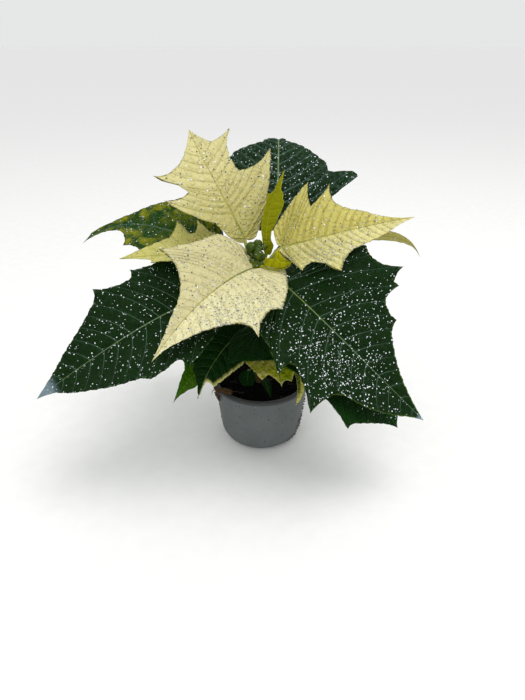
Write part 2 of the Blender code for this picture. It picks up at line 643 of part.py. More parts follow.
def main():
    """Build the plant and its pot."""
    clear_scene()
    materials = {
        "cream": make_material("bract_cream", (0.80, 0.76, 0.42), 0.6),
        "olive": make_material("bract_olive", (0.55, 0.52, 0.18), 0.6),
        "young": make_material("bract_young", (0.42, 0.45, 0.05), 0.5),
        "green": make_material("leaf_green", (0.02, 0.07, 0.03), 0.5),
        "bright": make_material("leaf_bright", (0.07, 0.18, 0.02), 0.5),
        "mottled": make_material("leaf_mottled", (0.25, 0.32, 0.06), 0.5),
    }
    build_pot(make_material("pot_plastic", (0.11, 0.125, 0.13), 0.55))
    build_soil(make_material("peat_soil", (0.012, 0.008, 0.006), 0.95))
    build_stem(make_material("stem_bark", (0.10, 0.12, 0.03), 0.7))
    build_flowers(make_material("bud_green", (0.03, 0.12, 0.01), 0.35))
    build_withered_leaf(make_material("dry_leaf", (0.16, 0.07, 0.02), 0.8))
    for leaf in LEAVES:
        build_leaf(leaf, materials[leaf.material])


main()
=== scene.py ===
"""A potted poinsettia with cream bracts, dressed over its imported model.

Metres, +Z up, in the model's own frame. Each leaf is a fine closed blade that
follows the outline and the fold of its solid, with side veins that run into its
lobes. The shapes are worked out in millimetres and placed in metres.
"""

import logging
import math
import random
from collections.abc import Callable
from dataclasses import dataclass, replace
from enum import Enum

import bmesh
import bpy
import numpy as np
from mathutils import Matrix, Vector, noise


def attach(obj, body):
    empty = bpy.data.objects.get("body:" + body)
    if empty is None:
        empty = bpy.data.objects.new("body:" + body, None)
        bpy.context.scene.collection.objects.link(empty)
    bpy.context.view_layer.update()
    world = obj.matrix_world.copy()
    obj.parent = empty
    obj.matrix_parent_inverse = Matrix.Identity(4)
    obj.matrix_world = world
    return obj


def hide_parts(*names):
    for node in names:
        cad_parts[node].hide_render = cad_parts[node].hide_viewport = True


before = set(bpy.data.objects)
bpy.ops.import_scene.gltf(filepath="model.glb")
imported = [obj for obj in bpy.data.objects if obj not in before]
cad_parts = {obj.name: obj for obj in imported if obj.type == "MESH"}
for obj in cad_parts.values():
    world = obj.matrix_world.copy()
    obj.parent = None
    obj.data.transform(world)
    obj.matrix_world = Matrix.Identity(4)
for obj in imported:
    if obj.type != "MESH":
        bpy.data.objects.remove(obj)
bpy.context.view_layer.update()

MM = 0.001
BODY = "root"
BATCH = 50
LOG = logging.getLogger("poinsettia")

Colour = tuple[int, int, int]
Rows = tuple[tuple[float, float, float], ...]
Point = tuple[float, float, float]


def tone(colour: Colour) -> tuple[float, float, float, float]:
    """Turn a colour of 0 to 255 a channel into the linear colour that shaders use.

    Args:
        colour: red, green and blue as seen on a screen.

    Returns:
        The linear colour with an alpha of 1.
    """
    parts = [value / 255.0 for value in colour]
    linear = [part / 12.92 if part <= 0.04045 else ((part + 0.055) / 1.055) ** 2.4 for part in parts]
    return (linear[0], linear[1], linear[2], 1.0)


# Finishes


class Half(Enum):
    """The two halves of a blade, by the sign of the distance across it."""

    LEFT = 1
    RIGHT = -1


@dataclass(frozen=True)
class BladeFinish:
    """How a leaf or bract looks; the lengths are in mm.

    left and right are the colours of the two halves, and cloud is the colour that
    slow patches drift towards, more so near the margin where cloud_out is set. Foot
    is a tint at the base. Net is the strength of the fine mesh of veins, hollow the
    strength of the painted shade in the hollows beside it, quilt the swelling between
    and groove the depth of the side veins.
    Margin side is 0 for both halves, or the sign of the half that has it.
    """

    slot: str
    left: Colour
    right: Colour
    cloud: Colour
    vein: Colour
    rib: Colour
    rib_tip: Colour
    under: Colour
    margin: Colour
    cloud_share: float = 0.5
    cloud_size: float = 14.0
    cloud_edge: float = 0.25
    cloud_at: float = 0.5
    cloud_out: bool = False
    hollow: float = 0.3
    vein_width: float = 0.36
    vein_share: float = 0.6
    rib_width: float = 0.6
    margin_width: float = 0.5
    margin_share: float = 0.5
    margin_side: int = 0
    net: float = 0.25
    net_size: float = 3.0
    quilt: float = 1.0
    groove: float = -0.8
    haze: Colour = (120, 140, 145)
    haze_share: float = 0.0
    glue: Colour = (122, 141, 148)
    glue_tip: float = 0.0
    foot: Colour = (0, 0, 0)
    foot_share: float = 0.0
    speck: float = 0.0
    speck_colour: Colour = (90, 80, 60)
    roughness: float = 0.6
    gloss: float = 0.25
    bump: float = 0.8


class Shader:
    """A node material that is being put together."""

    def __init__(self, name: str) -> None:
        """Start a material with a Principled shader.

        Args:
            name: the material's name.
        """
        self.material = bpy.data.materials.new(name)
        self.material.use_nodes = True
        self.tree = self.material.node_tree
        self.surface = self.tree.nodes["Principled BSDF"]

    def node(self, kind: str, **settings: object) -> bpy.types.Node:
        """Add a node.

        Args:
            kind: the node's type name.
            settings: properties to set on it.

        Returns:
            The new node.
        """
        made = self.tree.nodes.new(kind)
        for name, value in settings.items():
            setattr(made, name, value)
        return made

    def put(self, socket: bpy.types.NodeSocket, value: object) -> None:
        """Give an input a link from another node's output, or a plain value.

        Args:
            socket: the input.
            value: an output socket, a number or a colour.
        """
        if isinstance(value, bpy.types.NodeSocket):
            self.tree.links.new(value, socket)
        else:
            socket.default_value = value

    def math(self, operation: str, first: object, second: object = 0.0, clamp: bool = False) -> object:
        """Join two values by a Math node and return its output.

        Args:
            operation: the Math node's operation.
            first: the first value or socket.
            second: the second value or socket.
            clamp: True keeps the result between 0 and 1.
        """
        made = self.node("ShaderNodeMath", operation=operation, use_clamp=clamp)
        self.put(made.inputs[0], first)
        self.put(made.inputs[1], second)
        return made.outputs[0]

    def mix(self, share: object, first: object, second: object) -> object:
        """Mix two colours and return the output.

        Args:
            share: how much of the second colour shows.
            first: the first colour.
            second: the second colour.
        """
        made = self.node("ShaderNodeMix", data_type="RGBA", clamp_factor=True)
        self.put(made.inputs[0], share)
        self.put(made.inputs[6], first)
        self.put(made.inputs[7], second)
        return made.outputs[2]

    def times(self, first: object, second: object) -> object:
        """Return one value times another."""
        return self.math("MULTIPLY", first, second)

    def tint(self, colour: object, other: Colour, share: object) -> object:
        """Return a colour with a share of a screen colour over it."""
        return self.mix(share, colour, tone(other))

    def span(self, value: object, low: object, high: object, start: float = 0.0, end: float = 1.0) -> object:
        """Ease a value from start to end as it goes from low to high, and return the output.

        Args:
            value: the value to read.
            low: where the result is start.
            high: where the result is end.
            start: the result at low.
            end: the result at high.
        """
        made = self.node("ShaderNodeMapRange", interpolation_type="SMOOTHSTEP", clamp=True)
        for index, item in enumerate((value, low, high, start, end)):
            self.put(made.inputs[index], item)
        return made.outputs[0]

    def noise(self, vector: object, scale: float, detail: float = 3.0, rough: float = 0.5,
              distortion: float = 0.0) -> object:
        """Return the output of a noise texture.

        Args:
            vector: where to read it.
            scale: how many times it repeats in one unit.
            detail: its octaves.
            rough: how strong the fine octaves are.
            distortion: how far it is pulled out of shape.
        """
        made = self.node("ShaderNodeTexNoise")
        self.put(made.inputs["Vector"], vector)
        settings = {"Scale": scale, "Detail": detail, "Roughness": rough, "Distortion": distortion}
        for name, value in settings.items():
            made.inputs[name].default_value = value
        return made.outputs["Fac"]

    def cells(self, vector: object, scale: float, feature: str = "F1") -> bpy.types.Node:
        """Return a cell texture node.

        Args:
            vector: where to read it.
            scale: how many cells there are in one unit.
            feature: F1 or DISTANCE_TO_EDGE.
        """
        made = self.node("ShaderNodeTexVoronoi", feature=feature)
        self.put(made.inputs["Vector"], vector)
        made.inputs["Scale"].default_value = scale
        return made

    def attribute(self, name: str) -> object:
        """Return the vector of one of the mesh's own attributes."""
        return self.node("ShaderNodeAttribute", attribute_name=name).outputs["Vector"]

    def place(self) -> object:
        """Return the place on the piece, in metres."""
        return self.node("ShaderNodeTexCoord").outputs["Object"]

    def split(self, vector: object) -> tuple[object, object, object]:
        """Return the three parts of a vector."""
        made = self.node("ShaderNodeSeparateXYZ")
        self.put(made.inputs[0], vector)
        return made.outputs[0], made.outputs[1], made.outputs[2]

    def spots(self, vector: object, scale: float, share: float, low: float, high: float) -> object:
        """Return a mask of small round spots, in some of the cells.

        Args:
            vector: where to read them.
            scale: how many cells there are in one unit.
            share: the share of the cells that have a spot.
            low: the spot's full core, in cells.
            high: the spot's outer edge, in cells.
        """
        cell = self.cells(vector, scale)
        red, _, _ = self.split(cell.outputs["Color"])
        chosen = self.math("LESS_THAN", red, share)
        return self.times(self.span(cell.outputs["Distance"], low, high, 1.0, 0.0), chosen)

    def bump(self, height: object, distance: float, strength: float = 1.0, under: object = None) -> object:
        """Return the normal that a height makes.

        Args:
            height: the height to read.
            distance: how deep a height of 1 is, in metres.
            strength: how much of it shows.
            under: the normal of a bump below this one.
        """
        made = self.node("ShaderNodeBump")
        made.inputs["Strength"].default_value = strength
        made.inputs["Distance"].default_value = distance
        self.put(made.inputs["Height"], height)
        if under is not None:
            self.put(made.inputs["Normal"], under)
        return made.outputs[0]

    def finish(self, colour: object, roughness: object, normal: object = None,
               **fixed: float) -> bpy.types.Material:
        """Set the surface and return the material.

        Args:
            colour: the base colour.
            roughness: the roughness.
            normal: the normal.
            fixed: other sockets of the shader, by their names with _ for a space.
        """
        self.put(self.surface.inputs["Base Color"], colour)
        self.put(self.surface.inputs["Roughness"], roughness)
        if normal is not None:
            self.put(self.surface.inputs["Normal"], normal)
        for name, value in fixed.items():
            self.surface.inputs[name.replace("_", " ")].default_value = value
        return self.material


class BladeShader(Shader):
    """The material of one blade, made from the attributes of its mesh.

    Plane holds the place along and across the blade in mm, and whether the point is
    underneath. Marks holds the distances in mm to the side vein, to the midrib and to
    the margin. Share holds the place from midrib to margin and from base to tip.
    """

    SEAM = 0.8
    WANDER = (2.4, 2.4, 0.0)
    WANDER_SCALE = 0.35
    NET_LINE = 0.09
    NET_HOLLOW = 0.26
    NET_SWELL = 0.45
    HAZE_REACH = 3.2
    SPECK_SCALE = 0.55
    SPECK_SIZE = (0.08, 0.24)
    RELIEF_DEPTH = 0.0004

    def __init__(self, name: str, looks: BladeFinish) -> None:
        """Read the attributes, and find the veins and the fine net.

        Args:
            name: the material's name.
            looks: how the blade looks.
        """
        super().__init__(name)
        self.looks = looks
        self.plane = self.attribute("plane")
        self.vein, self.rib, self.edge = self.split(self.attribute("marks"))
        self.outward, self.onward, _ = self.split(self.attribute("share"))
        _, self.across, self.under = self.split(self.plane)
        bent = self.node("ShaderNodeTexNoise")
        self.put(bent.inputs["Vector"], self.plane)
        bent.inputs["Scale"].default_value = self.WANDER_SCALE
        wander = self.node("ShaderNodeVectorMath", operation="MULTIPLY_ADD")
        for index, item in enumerate((bent.outputs["Color"], self.WANDER, self.plane)):
            self.put(wander.inputs[index], item)
        net = self.cells(wander.outputs[0], 1.0 / looks.net_size, "DISTANCE_TO_EDGE").outputs["Distance"]
        self.net_mask = self.span(net, 0.0, self.NET_LINE, 1.0, 0.0)
        self.swell = self.span(net, 0.0, self.NET_SWELL)
        # painted shade: this mask darkens the blade in the hollows beside the fine net lines
        self.low = self.span(net, 0.0, self.NET_HOLLOW, looks.hollow, 0.0)
        width = self.times(self.span(self.outward, 0.0, 1.0, 1.0, 0.35), looks.vein_width)
        self.vein_mask = self.span(self.vein, 0.0, width, 1.0, 0.0)
        width = self.times(self.span(self.onward, 0.0, 1.0, 1.0, 0.3), looks.rib_width)
        self.rib_mask = self.span(self.rib, self.times(width, 0.5), width, 1.0, 0.0)

    def ground(self) -> object:
        """Return the colour of the two halves, with their clouds, foot and the painted shade in their
        hollows.
        """
        looks = self.looks
        # the halves' colours; on the front and right bracts one half carries painted light and the other
        # painted shade
        colour = self.mix(self.span(self.across, -self.SEAM, self.SEAM), tone(looks.right), tone(looks.left))
        drift = self.noise(self.plane, 1.0 / looks.cloud_size, 5.0, 0.6, 0.6)
        start, end = looks.cloud_at - looks.cloud_edge, looks.cloud_at + looks.cloud_edge
        patch = self.span(drift, start, end, 0.0, looks.cloud_share)
        if looks.cloud_out:
            patch = self.times(patch, self.span(self.outward, 0.15, 0.75, 0.15, 1.0))
        colour = self.tint(colour, looks.cloud, patch)
        if looks.foot_share > 0.0:
            colour = self.tint(colour, looks.foot, self.span(self.onward, 0.0, 0.7, looks.foot_share, 0.0))
        # painted shade in the hollows beside the net lines, darkened towards the cloud colour
        return self.tint(colour, looks.cloud, self.low)

    def veined(self, colour: object) -> object:
        """Return a colour with the net, the haze, the side veins and the midrib over it.

        Args:
            colour: the colour below them.
        """
        looks = self.looks
        colour = self.tint(colour, looks.vein, self.times(self.net_mask, looks.net))
        if looks.haze_share > 0.0:
            near = self.span(self.vein, 0.3, self.HAZE_REACH, 1.0, 0.12)
            grain = self.span(self.noise(self.plane, 0.55, 4.0, 0.7), 0.45, 0.68)
            colour = self.tint(colour, looks.haze, self.times(self.times(near, grain), looks.haze_share))
        colour = self.tint(colour, looks.vein, self.times(self.vein_mask, looks.vein_share))
        rib = self.mix(self.span(self.onward, 0.08, 0.5), tone(looks.rib), tone(looks.rib_tip))
        return self.mix(self.times(self.rib_mask, 0.9), colour, rib)

    def edged(self, colour: object) -> object:
        """Return a colour with the margin, the specks and the glued tip over it.

        Args:
            colour: the colour below them.
        """
        looks = self.looks
        margin = self.span(self.edge, 0.0, looks.margin_width, looks.margin_share, 0.0)
        if looks.margin_side:
            margin = self.times(margin, self.span(self.across, 0.0, self.SEAM * looks.margin_side))
        colour = self.tint(colour, looks.margin, margin)
        if looks.speck > 0.0:
            spots = self.spots(self.plane, self.SPECK_SCALE, looks.speck, *self.SPECK_SIZE)
            colour = self.tint(colour, looks.speck_colour, self.times(spots, 0.75))
        if looks.glue_tip > 0.0:
            tip = self.span(self.onward, 1.0 - looks.glue_tip, 1.0 - looks.glue_tip * 0.5)
            broken = self.span(self.noise(self.plane, 0.3, 3.0, 0.6), 0.2, 0.42)
            colour = self.tint(colour, looks.glue, self.times(tip, broken))
        return colour

    def underside(self) -> object:
        """Return the colour below the blade, with its pale veins and net."""
        looks = self.looks
        colour = self.mix(self.span(self.vein, 0.0, 1.6, 0.4, 0.0), tone(looks.under), tone(looks.rib_tip))
        colour = self.tint(colour, looks.rib_tip, self.times(self.net_mask, 0.3))
        colour = self.tint(colour, looks.rib_tip, self.times(self.vein_mask, 0.75))
        return self.tint(colour, looks.rib, self.times(self.low, 0.5))

    def made(self) -> bpy.types.Material:
        """Join the two sides, add the relief and return the material."""
        looks = self.looks
        colour = self.edged(self.veined(self.ground()))
        colour = self.mix(self.span(self.under, 0.3, 0.7), colour, self.underside())
        fine = self.noise(self.plane, 1.3, 3.0, 0.6)
        rough = self.span(fine, 0.3, 0.7, looks.roughness - 0.08, looks.roughness + 0.08)
        height = self.times(self.math("ADD", self.vein_mask, self.rib_mask), looks.groove)
        height = self.math("ADD", height, self.times(self.swell, looks.quilt))
        height = self.math("ADD", height, self.times(fine, 0.3))
        normal = self.bump(height, self.RELIEF_DEPTH, looks.bump)
        return self.finish(colour, rough, normal, Specular_IOR_Level=looks.gloss)


@dataclass(frozen=True)
class GrainFinish:
    """A plain surface whose grain drifts between two colours, with scale repeats in a metre."""

    name: str
    low: Colour
    high: Colour
    scale: float
    roughness: float
    depth: float
    strength: float
    fine: float = 0.7
    distortion: float = 0.0

    def material(self) -> bpy.types.Material:
        """Make the material, with a bump that follows its grain."""
        shader = Shader(self.name)
        grain = shader.noise(shader.place(), self.scale, 4.0, self.fine, self.distortion)
        colour = shader.mix(shader.span(grain, 0.35, 0.65), tone(self.low), tone(self.high))
        return shader.finish(colour, self.roughness, shader.bump(grain, self.depth, self.strength))


@dataclass(frozen=True)
class BarkFinish:
    """The stem's bark: woody at the foot, green above, with dark streaks."""

    foot: Colour = (112, 92, 52)
    green: Colour = (92, 118, 48)
    streak: Colour = (58, 56, 30)
    green_from: tuple[float, float] = (0.05, 0.1)

    def material(self) -> bpy.types.Material:
        """Make the material."""
        shader = Shader("stem_bark")
        place = shader.place()
        streaks = shader.noise(place, 380.0, 5.0, 0.65, 0.4)
        tall = shader.span(shader.split(place)[2], *self.green_from)
        colour = shader.mix(tall, tone(self.foot), tone(self.green))
        colour = shader.tint(colour, self.streak, shader.span(streaks, 0.45, 0.75, 0.0, 0.7))
        return shader.finish(colour, 0.6, shader.bump(streaks, 0.0003, 0.6))


@dataclass(frozen=True)
class PlasticFinish:
    """The pot's grey plastic: its darker rim from two heights in metres, dust and specks."""

    shade: Colour = (89, 94, 94)
    light: Colour = (96, 101, 101)
    rim: Colour = (60, 62, 63)
    rim_from: tuple[float, float] = (0.0437, 0.0443)
    rim_top: Colour = (72, 74, 74)
    top_from: tuple[float, float] = (0.0462, 0.0465)
    dust: Colour = (125, 128, 122)
    dirt: Colour = (40, 34, 28)
    pale: Colour = (158, 156, 146)

    def material(self) -> bpy.types.Material:
        """Make the material."""
        shader = Shader("pot_plastic")
        place = shader.place()
        height = shader.split(place)[2]
        broad = shader.noise(place, 55.0, 5.0, 0.6, 0.5)
        fine = shader.noise(place, 900.0, 4.0, 0.7)
        colour = shader.mix(shader.span(broad, 0.35, 0.65), tone(self.shade), tone(self.light))
        colour = shader.tint(colour, self.rim, shader.span(height, *self.rim_from))
        colour = shader.tint(colour, self.rim_top, shader.span(height, *self.top_from))
        colour = shader.tint(colour, self.dust, shader.span(fine, 0.55, 0.8, 0.0, 0.35))
        dirt = shader.spots(place, 420.0, 0.16, 0.1, 0.3)
        colour = shader.tint(colour, self.dirt, dirt)
        specks = shader.spots(place, 560.0, 0.1, 0.08, 0.24)
        colour = shader.tint(colour, self.pale, shader.times(specks, 0.8))
        relief = shader.math("ADD", shader.times(fine, 0.5), shader.times(dirt, 0.8))
        rough = shader.span(broad, 0.3, 0.7, 0.6, 0.72)
        return shader.finish(colour, rough, shader.bump(relief, 0.0002, 0.5), Specular_IOR_Level=0.3)


@dataclass(frozen=True)
class PeatFinish:
    """Dark crumbly peat with brown and pale fibres."""

    dark: Colour = (2, 2, 1)
    light: Colour = (12, 10, 7)
    brown: Colour = (34, 26, 18)
    pale: Colour = (92, 76, 52)

    def material(self) -> bpy.types.Material:
        """Make the material."""
        shader = Shader("peat_soil")
        place = shader.place()
        broad = shader.noise(place, 240.0, 6.0, 0.7, 0.6)
        fine = shader.noise(place, 1500.0, 5.0, 0.75)
        colour = shader.mix(shader.span(broad, 0.35, 0.7), tone(self.dark), tone(self.light))
        colour = shader.tint(colour, self.brown, shader.span(fine, 0.6, 0.85, 0.0, 0.3))
        colour = shader.tint(colour, self.pale, shader.spots(place, 700.0, 0.035, 0.1, 0.24))
        relief = shader.bump(shader.math("ADD", broad, fine), 0.0008, 0.9)
        return shader.finish(colour, 0.92, relief, Specular_IOR_Level=0.1)


@dataclass(frozen=True)
class BudFinish:
    """The buds' glossy green, paler towards the foot of the cluster, with pale specks."""

    shade: Colour = (34, 56, 1)
    light: Colour = (74, 94, 3)
    foot: Colour = (96, 116, 8)
    foot_from: tuple[float, float] = (0.1345, 0.1305)
    speck: Colour = (150, 156, 70)

    def material(self) -> bpy.types.Material:
        """Make the material."""
        shader = Shader("bud_green")
        place = shader.place()
        height = shader.split(place)[2]
        drift = shader.noise(place, 260.0, 4.0, 0.6, 0.4)
        colour = shader.mix(shader.span(drift, 0.35, 0.65), tone(self.shade), tone(self.light))
        colour = shader.tint(colour, self.foot, shader.span(height, *self.foot_from, 0.0, 0.5))
        colour = shader.tint(colour, self.speck, shader.spots(place, 900.0, 0.12, 0.08, 0.25))
        dimple = shader.math("ADD", shader.times(drift, 3.0), shader.noise(place, 1800.0, 3.0, 0.6))
        return shader.finish(colour, 0.38, shader.bump(dimple, 0.0003, 0.7), Specular_IOR_Level=0.25,
                             Coat_Weight=0.06, Coat_Roughness=0.15)


@dataclass(frozen=True)
class GlitterFinish:
    """The flakes of glitter: dull, or white where the glint attribute paints a glint into the flake's base
    colour.
    """

    dull: Colour = (56, 48, 30)
    bright: Colour = (240, 249, 255)

    def material(self) -> bpy.types.Material:
        """Make the material."""
        shader = Shader("glitter")
        glint = shader.node("ShaderNodeAttribute", attribute_name="glint").outputs["Fac"]
        # painted glints: a high glint gives the flake a white base colour
        colour = shader.mix(shader.span(glint, 0.35, 0.75), tone(self.dull), tone(self.bright))
        rough = shader.span(shader.noise(shader.place(), 4000.0, 2.0, 0.5), 0.3, 0.7, 0.2, 0.4)
        return shader.finish(colour, rough, Specular_IOR_Level=0.8, Coat_Weight=0.8)


# Curves in space


def bezier(points: tuple[Point, ...], count: int) -> np.ndarray:
    """Return count + 1 places along a cubic Bezier curve.

    Args:
        points: its four control points.
        count: how many runs there are between the places.
    """
    p = np.array(points, dtype=float)
    t = np.linspace(0.0, 1.0, count + 1)[:, None]
    return (1 - t) ** 3 * p[0] + 3 * (1 - t) ** 2 * t * p[1] + 3 * (1 - t) * t * t * p[2] + t ** 3 * p[3]


def turned(vector: np.ndarray, axis: np.ndarray, angle: float) -> np.ndarray:
    """Turn a vector about a unit axis.

    Args:
        vector: the vector.
        axis: the unit axis.
        angle: the angle in radians.

    Returns:
        The turned vector.
    """
    return (vector * math.cos(angle) + np.cross(axis, vector) * math.sin(angle)
            + axis * np.dot(axis, vector) * (1 - math.cos(angle)))


def carried_sides(heading: np.ndarray, first: np.ndarray) -> np.ndarray:
    """Carry a sideways direction along a curve without twisting it.

    Args:
        heading: the curve's directions.
        first: the direction at the curve's start.

    Returns:
        One unit sideways direction for each heading.
    """
    sides = [first]
    for after in heading[1:]:
        side = sides[-1] - after * np.dot(sides[-1], after)
        sides.append(side / np.linalg.norm(side))
    return np.array(sides)


# Meshes


def taken(name: str, bm: bmesh.types.BMesh, smooth: bool = True) -> bpy.types.Mesh:
    """Turn a bmesh into a mesh, and free it.

    Args:
        name: the mesh's name.
        bm: the bmesh.
        smooth: True shades the mesh smooth.

    Returns:
        The mesh.
    """
    mesh = bpy.data.meshes.new(name)
    bm.to_mesh(mesh)
    bm.free()
    if smooth:
        mesh.shade_smooth()
    return mesh


def grid_mesh(name: str, places: np.ndarray, values: dict[str, np.ndarray],
              weld: float = 1e-7) -> bpy.types.Mesh:
    """Bend a grid into a surface and weld the points that meet.

    Args:
        name: the mesh's name.
        places: the grid's places in mm, as rows of columns of points.
        values: vectors to keep on the points, by attribute name.
        weld: how near two points are when they become one, in metres.

    Returns:
        The welded mesh, with its faces turned outward and shaded smooth.
    """
    rows, columns = places.shape[:2]
    bm = bmesh.new()
    bmesh.ops.create_grid(bm, x_segments=rows - 1, y_segments=columns - 1, size=1.0)
    mesh = taken(name, bm, False)
    flat = np.empty(len(mesh.vertices) * 3, dtype=np.float32)
    mesh.vertices.foreach_get("co", flat)
    flat = flat.reshape(-1, 3)
    row = np.rint((flat[:, 0] + 1.0) * 0.5 * (rows - 1)).astype(int)
    column = np.rint((flat[:, 1] + 1.0) * 0.5 * (columns - 1)).astype(int)
    mesh.vertices.foreach_set("co", (places[row, column] * MM).astype(np.float32).ravel())
    for key, value in values.items():
        layer = mesh.attributes.new(key, "FLOAT_VECTOR", "POINT")
        layer.data.foreach_set("vector", value[row, column].astype(np.float32).ravel())
    bm = bmesh.new()
    bm.from_mesh(mesh)
    bmesh.ops.remove_doubles(bm, verts=bm.verts, dist=weld)
    bmesh.ops.dissolve_degenerate(bm, dist=weld, edges=bm.edges)
    bmesh.ops.holes_fill(bm, edges=[edge for edge in bm.edges if edge.is_boundary], sides=0)
    bmesh.ops.recalc_face_normals(bm, faces=bm.faces)
    bm.to_mesh(mesh)
    bm.free()
    mesh.shade_smooth()
    return mesh


def tube_mesh(name: str, places: np.ndarray, radii: np.ndarray, sides: int,
              lump: float = 0.0) -> bpy.types.Mesh:
    """Sweep a round section along places, with closed ends.

    Args:
        name: the mesh's name.
        places: the places in mm.
        radii: the radius at each place.
        sides: how many sides the section has.
        lump: how far the surface swells and shrinks, as a share of the radius.

    Returns:
        The tube's mesh.
    """
    heading = np.gradient(places, axis=0)
    heading /= np.maximum(np.linalg.norm(heading, axis=1), 1e-9)[:, None]
    start = np.cross(heading[0], (0.3, 0.9, 0.2))
    side = carried_sides(heading, start / np.linalg.norm(start))
    up = np.cross(heading, side)
    angles = np.linspace(0.0, math.tau, sides + 1)
    swell = np.ones((len(places), sides + 1))
    for i, place in enumerate(places):
        for k, angle in enumerate(angles):
            spot = Vector((place[0] * 0.35, place[2] * 0.35 + math.cos(angle), math.sin(angle)))
            swell[i, k] += lump * noise.noise(spot)
    cosine, sine = np.cos(angles)[None, :, None], np.sin(angles)[None, :, None]
    around = cosine * side[:, None, :] + sine * up[:, None, :]
    skin = places[:, None, :] + around * (radii[:, None] * swell)[..., None]
    skin = np.concatenate([np.repeat(places[:1, None], sides + 1, axis=1), skin,
                           np.repeat(places[-1:, None], sides + 1, axis=1)])
    return grid_mesh(name, skin, {})


def gathered(name: str, count: int, add: Callable[[bmesh.types.BMesh], None]) -> bpy.types.Mesh:
    """Make many small closed shapes as one mesh, in batches that keep each bmesh small.

    Args:
        name: the mesh's name.
        count: how many shapes there are.
        add: adds the next shape to a bmesh.

    Returns:
        The shapes as one mesh, in the order that they were added.
    """
    joined = bmesh.new()
    for start in range(0, count, BATCH):
        group = bmesh.new()
        for _ in range(start, min(start + BATCH, count)):
            add(group)
        bmesh.ops.recalc_face_normals(group, faces=group.faces)
        part = taken(name + "_group", group, False)
        joined.from_mesh(part)
        bpy.data.meshes.remove(part)
    return taken(name, joined, False)


def seat(name: str, mesh: bpy.types.Mesh, material: bpy.types.Material, node: str = "") -> None:
    """Put a finished mesh in the scene as a piece of the plant.

    Args:
        name: the piece's name.
        mesh: its mesh, in metres in the model's frame.
        material: its material.
        node: the solid that it stands for, where there is one.
    """
    mesh.materials.clear()
    mesh.materials.append(material)
    piece = bpy.data.objects.new(name, mesh)
    bpy.context.collection.objects.link(piece)
    if node:
        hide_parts(node)
    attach(piece, BODY)
    LOG.info("%s: %d faces", name, len(mesh.polygons))


# Leaves


@dataclass
class LeafPlan:
    """One leaf's place and outline, in mm and degrees, as its solid has them.

    root is the stalk's place on the stem. base, lean, reach and tip are the midrib's
    Bezier points. Each margin is a list of (along, out, bulge), and tail is the bulge
    of the last run to the tip. Sway moves the middle of the stalk, and twist turns
    the blade about its midrib towards the tip.
    """

    name: str
    kind: str
    root: float
    base: Point
    lean: Point
    reach: Point
    tip: Point
    roll: float
    fold: tuple[float, float]
    left: Rows
    right: Rows
    bend: tuple[float, float] = (0.0, 0.0)
    tail: float = -0.6
    stalk: float = 1.1
    sway: Point = (0.0, 0.0, 0.0)
    twist: float = 0.0


@dataclass
class Glitter:
    """Flakes of glitter on one blade.

    Each cluster is (along, across, spread, weight) in mm. Bright is the share of the
    flakes that get a white base colour as painted glints, and dull is how pale the others are.
    """

    count: int
    bright: float = 0.9
    size: tuple[float, float] = (0.22, 0.5)
    stretch: float = 1.0
    dull: tuple[float, float] = (0.0, 0.3)
    even: float = 0.5
    clusters: tuple[tuple[float, float, float, float], ...] = ()


@dataclass
class LeafDress:
    """How one leaf is dressed: its finish, its relief in mm and its glitter."""

    finish: BladeFinish
    vein_gap: float = 8.5
    puff: float = 0.42
    wave: float = 0.7
    ripple: float = 0.22
    crumple: float = 0.0
    glitter: tuple[Glitter, ...] = ()


